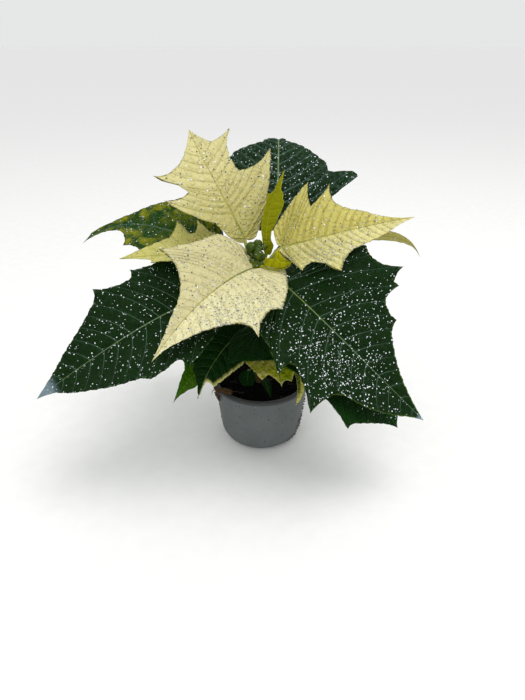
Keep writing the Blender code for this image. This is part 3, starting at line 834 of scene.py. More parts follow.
LEAVES = (
    LeafPlan("bract_upper_left", "cream", 130.0, (-10, 5, 143), (-20, 10, 164), (-34, 20, 184),
             (-43, 30, 202), -40.0, (12, 12),
             left=((-2, 2.5, 0.3), (2, 7, 0.3), (17, 13, 0.8), (39, 35, 2), (38, 19, -2), (53, 34, -1.5),
                   (53, 20, -1.5), (60, 9, -1)),
             right=((-2.5, 5, 0.8), (0, 9, 0.6), (4.6, 13.5, 0.4), (40, 39, 2), (37, 16, -3),
                    (63, 23, -4), (60, 9, -1))),
    LeafPlan("bract_front", "cream", 124.0, (-5, -9, 129), (-20, -27, 131), (-40, -50, 122),
             (-57, -73, 102), -25.0, (20, 20),
             left=((-16.5, 12.2, 0.6), (1, 28, 0.5), (25, 42, 1), (29, 37, -0.5), (50, 45, -2),
                   (47, 31, -2), (67, 11, -2), (77, 4, 0)),
             right=((-4.6, 8, 0.6), (-3.6, 15.5, 0.3), (1, 20, 0.2), (7.5, 27, 0.3), (12, 28, 0.3),
                    (41, 37, -2), (40, 25, -0.5), (57, 8, -3), (66, 5, 0))),
    LeafPlan("bract_right", "cream", 126.5, (13, -2.2, 140.2), (36.5, -2.9, 146.6), (64.5, 0, 153.3),
             (91, 0, 158), 38.0, (20, 20),
             left=((-3, 2.5, 0.4), (-3.2, 12, 0.3), (24, 35, 1), (22, 20, -1), (36, 31, -1),
                   (37, 18, -1.5), (51, 10, -1), (65, 3, -0.5)),
             right=((-2.5, 2.5, 0.3), (2, 11, 0), (9, 26, 0), (15, 21, -1), (29, 34, -2), (39, 18, -1.5),
                    (63, 9, 0.5))),
    LeafPlan("bract_back_left", "olive", 127.0, (-14, 0, 133), (-35, 0, 135), (-62, -2, 136),
             (-86, -3, 133), 0.0, (6, 25),
             left=((5, 10, 1), (39, 15, 1), (51, 17, 0), (54, 8, -1.5)),
             right=((5, 12, 1), (15, 19.5, 0), (23.5, 26, -0.6), (26.8, 33, -0.4), (27.6, 19, -1),
                    (33, 19.5, -0.6), (38.8, 31.5, -1.6), (43, 16, -1.2))),
    LeafPlan("bract_back_right", "olive", 122.5, (6, 6, 130), (40, 18, 139), (97, 31, 147), (107, 30, 122),
             0.0, (12, 12), twist=24.0,
             left=((2, 2.6, 0), (14, 4, 0), (36, 22, 2), (40, 14, -1), (60, 11, -1), (84, 6, 0.5),
                   (98, 3, 0.3)),
             right=((5, 11, 1), (34, 24, 1), (40, 14, -1.5), (62, 11, -1), (84, 7, 0.5), (98, 4, 0.3))),
    LeafPlan("young_bract_upright", "young", 129.5, (3.4, 3.2, 133.5), (2.6, 4.6, 143), (3.6, 8, 166),
             (14, 9, 183), -21.0, (10, 10), tail=0.0, stalk=1.0,
             left=((1, 1.3, 0), (10.8, 2.8, 0), (19.8, 3.9, 0.2), (30.5, 3.4, 0), (36, 3.7, 0),
                   (36.2, 2.2, -0.1), (39, 0.7, -0.1), (45, 0.4, 0)),
             right=((-0.5, 2.2, 0), (3, 4, 0.3), (6.2, 4.5, 0.3), (10.5, 2.8, -0.2), (14.5, 3, 0),
                    (24.8, 6.2, 0.2), (34.2, 7.4, 0.3), (35.2, 5.8, 0), (38.2, 5.6, 0), (39.5, 4, 0),
                    (40.5, 3, 0), (46.2, 1.6, 0))),
    LeafPlan("young_bract_cup", "young", 119.5, (1.6, -7.6, 130.6), (7, -10.4, 128.6), (15.5, -11.6, 128.4),
             (19.6, -10, 134.6), 0.0, (76, 66), bend=(-30, -30), stalk=0.9,
             left=((1, 4, 0.3), (7, 6, 0), (8.5, 11, 0.5), (14.5, 11.5, 0.5), (15.5, 8, 0.2),
                   (18, 3, -0.2)),
             right=((1, 8, 0.4), (6, 7.5, -0.3), (9.5, 10.5, 0), (11.5, 7, -0.2), (15, 4, -0.3),
                    (18.5, 2, 0))),
    LeafPlan("leaf_front_right", "green", 108.0, (13, -19, 124), (33, -36, 112), (66, -52, 82),
             (96, -60, 54), 28.0, (16, 16),
             left=((3, 29, 2), (20, 49, 1), (32, 47, -1.5), (44, 55, -1), (46, 45, -1), (50, 45, 0),
                   (50, 34, -1), (63, 30, -1.5), (66, 23, -0.5), (91, 8, -1)),
             right=((1.5, 17, 0.4), (8, 29.5, 0.4), (13, 35.5, 0.4), (23.5, 39, 0.4), (37, 46.8, 0.3),
                    (37, 37, -1), (42, 36, -0.5), (61, 50, -0.5), (64, 33, -1), (72, 26, -1),
                    (101, 11, 1.5))),
    LeafPlan("leaf_left", "green", 110.0, (-24, -15, 117), (-58, -32, 114), (-96, -52, 92), (-127, -64, 72),
             -26.0, (14, 14),
             left=((16, 31, 2), (42, 46, 1), (45, 37, -1), (63, 39, 1), (69, 34, -0.5), (96, 19, 0.5),
                   (111, 6, 0.5)),
             right=((8, 20, 1.5), (24, 32, 1), (41, 35, -1), (44, 30, -1), (64, 36, -2), (68, 28, -1),
                    (96, 13, -0.5))),
    LeafPlan("leaf_back", "green", 116.0, (10, 18, 144.5), (11, 34, 172), (12, 60, 212), (12, 100, 177),
             0.0, (10, 10), bend=(15, 10), sway=(9, -2, 0),
             left=((2, 22, 2), (34, 50, 2), (41, 36, -1.5), (53, 28, 0), (64, 11, 0.5), (76, 5, 0)),
             right=((2, 22, 2), (21, 34.5, 1), (33.5, 50.5, 0.3), (36.6, 47, 0.2), (35.8, 35.5, 0.3),
                    (37, 31.2, 0), (42.5, 30.5, 0.3), (53, 19.5, 0), (66, 5.5, 0), (77, 3, 0))),
    LeafPlan("leaf_back_left", "mottled", 114.0, (-28, 22, 126), (-60, 40, 142), (-100, 56, 147),
             (-126, 50, 124.5), -25.0, (15, 15),
             left=((8, 18, 1.5), (42, 30, 1), (50, 26, -0.5), (60, 28, -1), (66, 17, -1), (75, 8, -1),
                   (99, 2.5, 0)),
             right=((8, 16, 1.5), (40, 31, 1), (45, 24, -1), (59, 15, 0), (69, 8.5, 0), (84, 3.5, 0),
                    (100, 2.5, 0))),
    LeafPlan("leaf_front_left_low", "green", 83.0, (-8, -4, 88), (-20, -20, 86.5), (-33, -31, 75),
             (-40.2, -34, 51), -12.0, (10, 14),
             left=((6, 14, 1.5), (28, 19, 1), (48, 9, 0.5), (47.6, 4, -0.3), (49, 1.6, -0.3),
                   (53, 0.9, 0), (58, 0.8, 0)),
             right=((6, 14, 1.5), (28, 20, 1), (46, 9.5, -0.5), (54, 2.6, -0.5), (58, 1.3, 0))),
    LeafPlan("leaf_left_low", "bright", 70.0, (-18, -3, 68), (-32, -12, 70), (-49.5, -26, 60),
             (-57, -30, 44.3), -15.0, (15, 15),
             left=((4, 8, 1), (24, 10, 1), (38, 9, 0), (46, 3.5, -0.5)),
             right=((6, 12, 1.5), (22, 17, 0.5), (31, 13, -1), (35, 7, -1), (43, 3.5, 0))),
    LeafPlan("leaf_right_low", "green", 89.0, (1, -17, 93), (26, -33, 90), (62, -48, 75), (84, -52, 42),
             20.0, (15, 15),
             left=((6, 22, 2), (40, 34, 1), (46, 26, -1), (64, 28, -1), (68, 19, -1), (102, 4.5, 0)),
             right=((-10, 8, 0), (-8, 24, 1), (3, 41, 0), (10, 32, -1), (20, 23, 0.5), (34, 22, 0),
                    (75, 34, -1), (78, 26, -1), (93, 11, 0))),
    LeafPlan("leaf_front_low", "mottled", 72.0, (4, -10, 74), (8, -18, 75), (11, -26, 70), (13, -34, 60),
             0.0, (12, 12), stalk=0.9,
             left=((3, 10, 1), (18, 13, 1), (28, 7, 0), (27, 3, -0.4)),
             right=((3, 12, 1), (12, 21, 1), (25, 13, 0.6), (22, 8, -0.6), (27, 2, -0.6))),
    LeafPlan("leaf_hooked_low", "mottled", 82.0, (12, -15, 80), (21, -27, 83), (28.5, -41, 66),
             (21.2, -45, 53.5), 0.0, (12, 12), stalk=0.9,
             left=((3, 6, 1), (22, 3, 0), (36, 2.6, 0.4), (44, 0.9, 0.1)),
             right=((3, 6, 1), (22, 3.4, 0), (36, 2.2, 0), (44, 0.7, 0))),
    LeafPlan("leaf_hidden_back_right", "green", 100.0, (20, 20, 112), (42, 44, 116), (66, 70, 98),
             (76, 84, 72), 0.0, (12, 12),
             left=((4, 22, 2), (30, 38, 1), (36, 29, -1), (54, 32, -1), (60, 20, -1), (84, 6, 0)),
             right=((4, 22, 2), (32, 38, 1), (37, 28, -1), (52, 30, -1), (58, 20, -1), (84, 6, 0))),
    LeafPlan("leaf_hidden_back_left", "green", 94.0, (-22, 18, 104), (-44, 38, 108), (-66, 58, 92),
             (-76, 66, 70), 0.0, (12, 12),
             left=((4, 20, 2), (28, 32, 1), (33, 25, -1), (48, 27, -1), (54, 17, -1), (76, 5, 0)),
             right=((4, 20, 2), (26, 33, 1), (32, 25, -1), (50, 26, -1), (55, 17, -1), (76, 5, 0))),
    LeafPlan("leaf_basal_round", "green", 48.5, (-8.8, -5.2, 53.8), (-9, -7, 51), (-9.5, -9, 48),
             (-9.8, -10.8, 45.2), 0.0, (5, 5), tail=0.9, stalk=0.6,
             left=((2, 4.8, 1.2), (8, 4.6, 1.0)),
             right=((2, 4.8, 1.2), (8, 4.6, 1.0))),
    LeafPlan("leaf_basal_narrow", "green", 46.5, (1.5, -7, 48.5), (3, -12, 49.2), (5, -18, 47.8),
             (6.5, -24.5, 45), 0.0, (15, 15), tail=0.3, stalk=0.6,
             left=((2, 2.8, 0.5), (10, 2.6, 0.4)),
             right=((2, 2.8, 0.5), (10, 2.6, 0.4))),
)


class Midrib:
    """The blade's centre line with a side and an upward direction at each place."""

    COUNT = 240

    def __init__(self, plan: LeafPlan) -> None:
        """Work the line out from a leaf's plan.

        Args:
            plan: the leaf.
        """
        places = bezier((plan.base, plan.lean, plan.reach, plan.tip), self.COUNT)
        runs = np.linalg.norm(np.diff(places, axis=0), axis=1)
        self.along = np.concatenate([[0.0], np.cumsum(runs)])
        self.length = float(self.along[-1])
        heading = np.gradient(places, axis=0)
        heading /= np.linalg.norm(heading, axis=1)[:, None]
        side = np.cross((0.0, 0.0, 1.0), heading[0])
        side = turned(side / np.linalg.norm(side), heading[0], math.radians(plan.roll))
        sides = carried_sides(heading, side)
        twist = math.radians(plan.twist) * (self.along / self.length) ** 2
        sides = np.array([turned(way, axis, angle) for way, axis, angle in zip(sides, heading, twist)])
        self.tables = (places, heading, sides, np.cross(heading, sides))

    def at(self, along: np.ndarray) -> list[np.ndarray]:
        """Return place, heading, side and up at distances along the midrib."""
        return [np.stack([np.interp(along, self.along, table[:, k]) for k in range(3)], axis=-1)
                for table in self.tables]


class Margin:
    """One side's margin, with a key at each point for the side vein that ends there.

    Keys run from -1 to 0 round the blade's base and from 0 to 1 along the midrib.
    """

    SLANT = 0.62

    def __init__(self, rows: Rows, length: float, tail: float) -> None:
        """Walk round the margin.

        Args:
            rows: its corners as (along, out, bulge).
            length: the midrib's length.
            tail: the bulge of the last run.
        """
        self.first = rows[0]
        points = [np.array(rows[0][:2], dtype=float)]
        corners = [0]
        for along, out, bulge in (*rows[1:], (length, 0.0, tail)):
            end = np.array((along, out), dtype=float)
            count = max(3, round(float(np.linalg.norm(end - points[-1])) * 2))
            points.extend(arc(points[-1], end, bulge, count)[1:])
            corners.append(len(points) - 1)
        self.points = np.array(points)
        steps = np.linalg.norm(np.diff(self.points, axis=0), axis=1)
        self.distance = np.concatenate([[0.0], np.cumsum(steps)])
        start = np.clip(self.points[:, 0] - self.points[:, 1] * self.SLANT, 0.0, length)
        start = np.maximum.accumulate(start)
        fan = int((start <= 1e-9).sum())
        self.key = start / length
        self.key[:fan] = self.distance[:fan] / max(self.distance[fan - 1], 1e-9) - 1.0 - 1e-6
        for i in range(1, len(self.key)):
            self.key[i] = max(self.key[i], self.key[i - 1] + 1e-7)
        self.corner_keys = [float(self.key[i]) for i in corners]
        outs = [self.points[i][1] for i in corners]
        self.lobe_keys = [self.corner_keys[i] for i in range(1, len(outs) - 1)
                          if outs[i] >= outs[i - 1] and outs[i] > outs[i + 1]]

    def at(self, keys: np.ndarray) -> np.ndarray:
        """Return the margin's points at some keys."""
        return np.stack([np.interp(keys, self.key, self.points[:, k]) for k in range(2)], axis=-1)


def arc(start: np.ndarray, end: np.ndarray, bulge: float, count: int) -> np.ndarray:
    """Return count + 1 points along a run that bows outward.

    Args:
        start: its first point.
        end: its last point.
        bulge: how far it bows.
        count: how many runs there are.
    """
    start = np.array(start, dtype=float)
    run = np.array(end, dtype=float) - start
    outward = np.array((-run[1], run[0])) / max(float(np.linalg.norm(run)), 1e-9)
    t = np.linspace(0.0, 1.0, count + 1)[:, None]
    return start + run * t + outward * bulge * 4 * t * (1 - t)


def lay_flake(bm: bmesh.types.BMesh, place: Matrix) -> None:
    """Add one six-sided flake of glitter.

    Args:
        bm: the bmesh that it joins.
        place: puts a ball of 1 mm where the flake is, and flattens it.
    """
    bmesh.ops.create_uvsphere(bm, u_segments=6, v_segments=2, radius=MM, matrix=place)


def with_glints(mesh: bpy.types.Mesh, glints: list[float]) -> bpy.types.Mesh:
    """Keep each flake's painted glint, the brightness of its base colour, on its points, in the attribute
    glint.

    Args:
        mesh: the flakes.
        glints: one brightness for each flake, in their order.

    Returns:
        The same mesh.
    """
    layer = mesh.attributes.new("glint", "FLOAT", "POINT")
    layer.data.foreach_set("value", np.repeat(glints, len(mesh.vertices) // len(glints)).astype(np.float32))
    return mesh


class LeafPiece:
    """One leaf or bract: a fine blade, its stalk and rib, and its glitter. Lengths are in mm."""

    STEP = 0.9
    ROWS = 18
    THICKNESS = 0.5
    THIN_RIM = 0.9
    BOW = 0.08
    BEND_SPAN = 40.0
    CREASE = 1.1
    RIM_SHARE = 0.62
    VEIN_ROOM = 3.0
    PAIR_REACH = 6.0
    BASE_REACH = 0.25
    KEEL_SHARE = 0.86
    KEEL_TIP = 0.3
    KEEL_RUNS = 40
    STALK_RUNS = 24
    STALK_SIDES = 14
    FOOT_RUNS = 5
    FOOT_SWELL = 0.45
    BOW_FROM = 10.0
    RIPPLE_PACE = (0.9, 2.3)
    TIP_CALM = 12.0
    RIB_CALM = 8.0
    RIM_SLANT = 0.75
    RIB_FADE = 3.0
    RIM_FADE = 4.0
    VEIN_FADE = 1.5
    SINK = 0.35
    WAVE_PACE = (0.16, 0.13)
    WAVE_SPREAD = 25.0
    FLAKE_TILT = 0.16
    FLAKE_FLAT = 0.22
    FLAKE_LIFT = 0.1

    def __init__(self, plan: LeafPlan, dress: LeafDress) -> None:
        """Work out the blade's net.

        Args:
            plan: where the leaf is and its outline.
            dress: how it looks.
        """
        self.plan = plan
        self.dress = dress
        self.seed = sum(ord(letter) * (i + 1) for i, letter in enumerate(plan.name)) % 997
        self.rib = Midrib(plan)
        self.margins = [Margin(rows, self.rib.length, plan.tail) for rows in (plan.left, plan.right)]
        self.veins = self.vein_keys()
        self.columns = self.column_keys()
        self.build_net()
        self.lift_net()

    def walks(self, low: tuple[float, float], high: tuple[float, float]) -> list[float]:
        """Return how long the left and the right margin are between two pairs of keys."""
        ends = [np.interp((low[k], high[k]), margin.key, margin.distance)
                for k, margin in enumerate(self.margins)]
        return [end - start for start, end in ends]

    def vein_keys(self) -> np.ndarray:
        """Choose the side veins: one into each lobe, and more at an even spacing.

        Returns:
            The veins' keys on the left and the right margin.
        """
        length = self.rib.length
        anchors = [(-1.0, -1.0)]
        items = sorted((key, side) for side, margin in enumerate(self.margins) for key in margin.lobe_keys)
        while items:
            key, side = items.pop(0)
            near = self.BASE_REACH if key < 0.0 else self.PAIR_REACH / length
            other = items.pop(0)[0] if items and items[0][1] != side and items[0][0] - key < near else key
            pair = (key, other) if side == 0 else (other, key)
            if min(pair[0] - anchors[-1][0], pair[1] - anchors[-1][1]) > self.VEIN_ROOM / length:
                anchors.append(pair)
        anchors.append((1.0, 1.0))
        keys = []
        for low, high in zip(anchors[:-1], anchors[1:]):
            inner = (max(high[0], 0.0) - max(low[0], 0.0)) * length
            gap = max(inner, self.RIM_SHARE * max(self.walks(low, high)))
            count = max(1, round(gap / self.dress.vein_gap))
            keys += [[low[k] + (high[k] - low[k]) * i / count for k in range(2)] for i in range(count)]
        return np.array(keys[1:] + [[1.0 - 1e-4, 1.0 - 1e-4]])

    def column_keys(self) -> np.ndarray:
        """Place the net's columns: one on each vein and corner, and close ones between.

        Returns:
            Each column's keys on the left and the right margin.
        """
        marks = {(-1.0 - 1e-6, -1.0 - 1e-6), (1.0, 1.0)} | {tuple(pair) for pair in self.veins}
        ladder = np.array(sorted(marks))
        for k, margin in enumerate(self.margins):
            for key in margin.corner_keys:
                other = float(np.interp(key, ladder[:, k], ladder[:, 1 - k]))
                marks.add((key, other) if k == 0 else (other, key))
        marks = np.array(sorted(marks))
        marks[:, 1] = np.maximum.accumulate(marks[:, 1])
        columns = []
        for low, high in zip(marks[:-1], marks[1:]):
            count = max(1, math.ceil(max(self.walks(low, high)) / self.STEP))
            columns += [low + (high - low) * i / count for i in range(count)]
        return np.array(columns + [marks[-1]])

    def rim(self, k: int) -> np.ndarray:
        """Return the columns' ends on one margin, with a slight ripple.

        Args:
            k: 0 for the left margin or 1 for the right one.
        """
        length, keys, ripple = self.rib.length, self.columns[:, k], self.dress.ripple
        edge = self.margins[k].at(keys)
        edge[-1] = (length, 0.0)
        slow, quick = self.RIPPLE_PACE
        wave = ripple * np.sin(keys * length * slow + self.seed + k)
        wave += ripple * 0.7 * np.sin(keys * length * quick + self.seed * 0.7)
        fade = np.clip((length - edge[:, 0]) / self.TIP_CALM, 0.0, 1.0)
        edge[:, 1] += wave * fade * np.clip(edge[:, 1] / self.RIB_CALM, 0.0, 1.0)
        return edge

    def half_lines(self, k: int) -> np.ndarray:
        """Return one half of the flat net: a line from the midrib to the margin for each column.

        Args:
            k: 0 for the left half or 1 for the right one.
        """
        rows, first, edge = self.ROWS, self.margins[k].first, self.rim(k)
        origin = np.clip(self.columns, 0.0, 1.0).mean(axis=1) * self.rib.length
        lines = np.zeros((len(self.columns), rows + 1, 2))
        for i in range(rows + 1):
            t = i / rows
            bow = self.BOW * edge[:, 1] * 4 * t * (1 - t) * np.clip(origin / self.BOW_FROM, 0.0, 1.0)
            lines[:, i, 0] = origin + t * (edge[:, 0] - origin) - bow
            lines[:, i, 1] = t * edge[:, 1]
        lines[0] = arc((0.0, 0.0), first[:2], first[2], rows)
        return lines

    def nearest_veins(self, k: int) -> tuple[np.ndarray, np.ndarray]:
        """Return each column's nearest side vein, and how far off it is from 0 to a half.

        Args:
            k: 0 for the left half or 1 for the right one.
        """
        order = np.arange(len(self.veins))
        phase = np.interp(self.columns[:, k], self.veins[:, k], order, left=-0.5, right=len(order) - 0.5)
        nearest = np.clip(np.rint(phase), 0, len(order) - 1).astype(int)
        return nearest, np.abs(phase - nearest)

    def build_net(self) -> None:
        """Lay the flat net out and note each point's distances to veins and margin."""
        rows = self.ROWS
        shape = (len(self.columns), 2 * rows + 1)
        self.net = np.zeros((*shape, 2))
        self.outward = np.zeros(shape)
        self.marks = np.zeros((*shape, 3))
        self.relief = np.zeros(shape)
        for k, half in enumerate(Half):
            lines = self.half_lines(k)
            nearest, share = self.nearest_veins(k)
            vein_column = np.array([np.argmin(np.abs(self.columns[:, k] - key)) for key in self.veins[:, k]])
            vein = lines[vein_column[nearest]]
            run = np.gradient(vein, axis=1)
            run /= np.maximum(np.linalg.norm(run, axis=2), 1e-9)[..., None]
            gap = lines - vein
            distance = np.abs(gap[..., 0] * run[..., 1] - gap[..., 1] * run[..., 0])
            reach = np.linalg.norm(lines - lines[:, :1], axis=2)
            far = (reach[:, -1:] - reach) * self.RIM_SLANT
            far[0] = 0.0
            puff = np.sin(np.clip(share[:, None] * 2.0, 0.0, 1.0) * math.pi / 2) ** 0.8
            puff = puff * np.clip(reach / self.RIB_FADE, 0.0, 1.0)
            puff *= 0.25 + 0.75 * np.clip(far / self.RIM_FADE, 0.0, 1.0)
            at = rows + half.value * np.arange(rows + 1)
            self.net[:, at] = lines * (1, half.value)
            self.outward[:, at] = np.linspace(0.0, 1.0, rows + 1)
            self.marks[:, at, 0] = distance
            self.marks[:, at, 1] = np.hypot(np.minimum(lines[..., 0], 0.0), lines[..., 1])
            self.marks[:, at, 2] = far
            self.relief[:, at] = puff * np.clip(distance / self.VEIN_FADE, 0.0, 1.0)

    def lift_net(self) -> None:
        """Fold and bend the net in space and raise it between its veins."""
        plan, dress = self.plan, self.dress
        along, across = self.net[..., 0].ravel(), self.net[..., 1].ravel()
        held = np.clip(along, 0.0, self.rib.length)
        place, heading, side, up = self.rib.at(held)
        place = place + heading * (along - held)[:, None]
        out = np.abs(across)
        top = np.zeros_like(place)
        for half, fold, bend in zip(Half, plan.fold, plan.bend):
            chosen = (across >= 0) if half is Half.LEFT else (across < 0)
            angle = math.radians(fold)
            curl = math.radians(bend) / self.BEND_SPAN
            reach = out[chosen]
            if abs(curl) < 1e-6:
                sideways, rise = reach * math.cos(angle), reach * math.sin(angle)
            else:
                sideways = (math.sin(angle) - np.sin(angle - curl * reach)) / curl
                rise = (np.cos(angle - curl * reach) - math.cos(angle)) / curl
            rise = rise + math.sin(angle) * (np.sqrt(reach ** 2 + self.CREASE ** 2) - reach) * 0.6
            top[chosen] = (place[chosen] + half.value * sideways[:, None] * side[chosen]
                           + rise[:, None] * up[chosen])
        shape = self.net.shape[:2]
        top = top.reshape(*shape, 3)
        up = up.reshape(*shape, 3)
        spread = np.clip(out.reshape(shape) / self.WAVE_SPREAD, 0.0, 1.0)
        swell = np.sin(self.net[..., 0] * self.WAVE_PACE[0] + self.seed)
        swell *= np.cos(self.net[..., 1] * self.WAVE_PACE[1] + self.seed * 0.3)
        height = dress.puff * (self.relief - self.SINK) + dress.wave * swell * spread
        if dress.crumple > 0.0:
            for index in np.ndindex(shape):
                spot = Vector((*self.net[index], float(self.seed))) * 0.45
                height[index] += dress.crumple * noise.fractal(spot, 1.0, 2.0, 3)
        self.top = top + self.normals(top, up) * height[..., None]
        self.normal = self.normals(self.top, up)

    @staticmethod
    def normals(places: np.ndarray, up: np.ndarray) -> np.ndarray:
        """Return the unit normals of a surface.

        Args:
            places: the surface's points, as a grid.
            up: a direction at each point, on the side that the normals point to.
        """
        found = np.cross(np.gradient(places, axis=0), np.gradient(places, axis=1))
        size = np.linalg.norm(found, axis=2)[..., None]
        found = np.where(size > 1e-6, found / np.maximum(size, 1e-12), up)
        found = np.where((found * up).sum(axis=2)[..., None] < 0.0, -found, found)
        middle = places.shape[1] // 2
        joined = found[:, middle - 1] + found[:, middle + 1]
        found[:, middle] = joined / np.maximum(np.linalg.norm(joined, axis=1), 1e-9)[:, None]
        return found

    def blade(self) -> bpy.types.Mesh:
        """Make the closed blade: over the top from margin to margin, and back below.

        Returns:
            The blade's mesh.
        """
        far = np.minimum(self.marks[..., 2], np.linalg.norm(self.net - self.net[:1], axis=2) + 0.02)
        thick = self.THICKNESS * np.sqrt(np.clip(far / self.THIN_RIM, 0.0, 1.0))
        thick[[0, -1]] = 0.0
        bottom = self.top - self.normal * thick[..., None]
        over = np.zeros(self.net.shape[:2])
        below = np.dstack([self.net, over + 1.0])
        share = np.dstack([self.outward, self.net[..., 0] / self.rib.length, over])
        values = {
            "plane": np.concatenate([np.dstack([self.net, over]), below[:, ::-1]], axis=1),
            "marks": np.concatenate([self.marks, self.marks[:, ::-1]], axis=1),
            "share": np.concatenate([share, share[:, ::-1]], axis=1),
        }
        return grid_mesh(self.plan.name, np.concatenate([self.top, bottom[:, ::-1]], axis=1), values, 2e-6)

    def stalk(self, stem: "Stem") -> bpy.types.Mesh:
        """Make the stalk and the rib under the blade.

        Args:
            stem: the stem that it grows from.

        Returns:
            The stalk's mesh.
        """
        plan = self.plan
        axis = stem.axis(plan.root)
        outward = np.array(plan.base, dtype=float) - axis
        outward[2] = 0.0
        outward /= np.linalg.norm(outward)
        start = axis + outward * (stem.radius(plan.root) - 0.3)
        share = np.linspace(0.0, self.KEEL_SHARE, self.KEEL_RUNS)
        place, heading, _, up = self.rib.at(share * self.rib.length)
        radii = np.linspace(plan.stalk, self.KEEL_TIP, self.KEEL_RUNS)
        keel = place - up * (radii * 0.9 + 0.12)[:, None]
        span = float(np.linalg.norm(keel[0] - start))
        sway = np.array(plan.sway)
        bend = (start, start + outward * span * 0.35 + np.array((0, 0, span * 0.12)) + sway,
                keel[0] - heading[0] * span * 0.3 + sway, keel[0])
        stalk = bezier(bend, self.STALK_RUNS)[:-1]
        thick = np.full(len(stalk), plan.stalk)
        fade = 1.0 - np.arange(self.FOOT_RUNS) / self.FOOT_RUNS
        thick[:self.FOOT_RUNS] += plan.stalk * self.FOOT_SWELL * fade
        return tube_mesh(plan.name + "_stalk", np.concatenate([stalk, keel]), np.concatenate([thick, radii]),
                         self.STALK_SIDES, 0.06)

    def flake_chances(self, glitter: Glitter) -> np.ndarray:
        """Return the running total of each cell's chance of a flake.

        Args:
            glitter: where the flakes are.
        """
        first = self.top[1:, :-1] - self.top[:-1, :-1]
        second = self.top[:-1, 1:] - self.top[:-1, :-1]
        weight = np.linalg.norm(np.cross(first, second), axis=2)
        density = np.full(weight.shape, glitter.even)
        middle = self.net[:-1, :-1]
        for along, across, spread, share in glitter.clusters:
            apart = (middle[..., 0] - along) ** 2 + (middle[..., 1] - across) ** 2
            density += share * np.exp(-apart / (2 * spread ** 2))
        patchy = np.sin(middle[..., 0] * 0.31 + self.seed) * np.sin(middle[..., 1] * 0.37 + self.seed * 0.5)
        return np.cumsum((weight * (density * (1.0 + 0.45 * patchy))).ravel())

    def flakes(self, glitter: Glitter, chance: random.Random) -> bpy.types.Mesh:
        """Scatter flakes of glitter on the top of the blade.

        Args:
            glitter: how many there are, and where.
            chance: the source of chance.

        Returns:
            The flakes as one mesh, with each one's painted glint brightness in the attribute glint.
        """
        total = self.flake_chances(glitter)
        small, large = glitter.size
        glints = []

        def flake(bm: bmesh.types.BMesh) -> None:
            """Add one flake."""
            cell = int(np.searchsorted(total, chance.random() * total[-1]))
            i, j = divmod(min(cell, total.size - 1), self.net.shape[1] - 1)
            u, v = chance.random(), chance.random()
            spot = (self.top[i, j] * (1 - u) * (1 - v) + self.top[i + 1, j] * u * (1 - v)
                    + self.top[i, j + 1] * (1 - u) * v + self.top[i + 1, j + 1] * u * v)
            normal = Vector(self.normal[i, j])
            tilt = Vector((chance.gauss(0, 1), chance.gauss(0, 1), chance.gauss(0, 1))) * self.FLAKE_TILT
            radius = small + (large - small) * chance.random() ** 2
            turn = (normal + tilt).to_track_quat("Z", "Y").to_matrix().to_4x4()
            spin = chance.uniform(0, math.tau)
            if glitter.stretch > 1.0:
                spin = chance.gauss(0.0, 0.35)
            size = Matrix.Diagonal((radius * glitter.stretch, radius, radius * self.FLAKE_FLAT, 1.0))
            place = Matrix.Translation((Vector(spot) + normal * self.FLAKE_LIFT) * MM)
            lay_flake(bm, place @ turn @ Matrix.Rotation(spin, 4, "Z") @ size)
            # painted glints: the chosen share of the flakes is made white, the rest dull
            shines = chance.random() < glitter.bright
            glints.append(chance.uniform(0.6, 1.0) if shines else chance.uniform(*glitter.dull))

        return with_glints(gathered(self.plan.name + "_glitter", glitter.count, flake), glints)

    def dress_up(self, stem: "Stem", stalks: dict[str, bpy.types.Material],
                 sparkle: bpy.types.Material) -> None:
        """Make the leaf's pieces and give them their materials.

        Args:
            stem: the stem that it grows from.
            stalks: the stalk materials by kind of leaf.
            sparkle: the material of the glitter.
        """
        plan, finish = self.plan, self.dress.finish
        surface = BladeShader(plan.name, finish).made()
        seat(plan.name + "_blade", self.blade(), surface, plan.name)
        if plan.stalk > 0.0:
            seat(plan.name + "_stalk", self.stalk(stem), stalks[plan.kind])
        chance = random.Random(self.seed)
        for i, glitter in enumerate(self.dress.glitter):
            seat("%s_glitter_%d" % (plan.name, i), self.flakes(glitter, chance), sparkle)


@dataclass
class Stem:
    """The woody stem that every leaf grows from, in mm, with a swollen ring at each root."""

    points: tuple[Point, ...] = ((-1.0, 0.0, 32.0), (-1.4, 0.3, 60.0), (-2.4, -0.4, 90.0), (-3.0, 0.0, 132.0))
    foot_radius: float = 2.7
    top_radius: float = 1.9
    ring_height: float = 0.35
    ring_reach: float = 1.3
    lump: float = 0.1
    runs: int = 90
    sides: int = 24

    def axis(self, height: float) -> np.ndarray:
        """Return the place on the stem's axis at a height."""
        places = bezier(self.points, self.runs)
        return np.array([np.interp(height, places[:, 2], places[:, k]) for k in range(3)])

    def radius(self, height: float) -> float:
        """Return the stem's radius at a height."""
        low, high = self.points[0][2], self.points[3][2]
        return self.foot_radius + (self.top_radius - self.foot_radius) * (height - low) / (high - low)

    def dress_up(self, roots: list[float]) -> None:
        """Seat the stem.

        Args:
            roots: the heights that the leaves grow at.
        """
        places = bezier(self.points, self.runs)
        radii = np.array([self.radius(place[2]) for place in places])
        for root in roots:
            radii += self.ring_height * np.exp(-((places[:, 2] - root) / self.ring_reach) ** 2)
        wood = tube_mesh("stem_wood", places, radii, self.sides, self.lump)
        seat("stem_wood", wood, BarkFinish().material(), "stem")


# Pot and soil


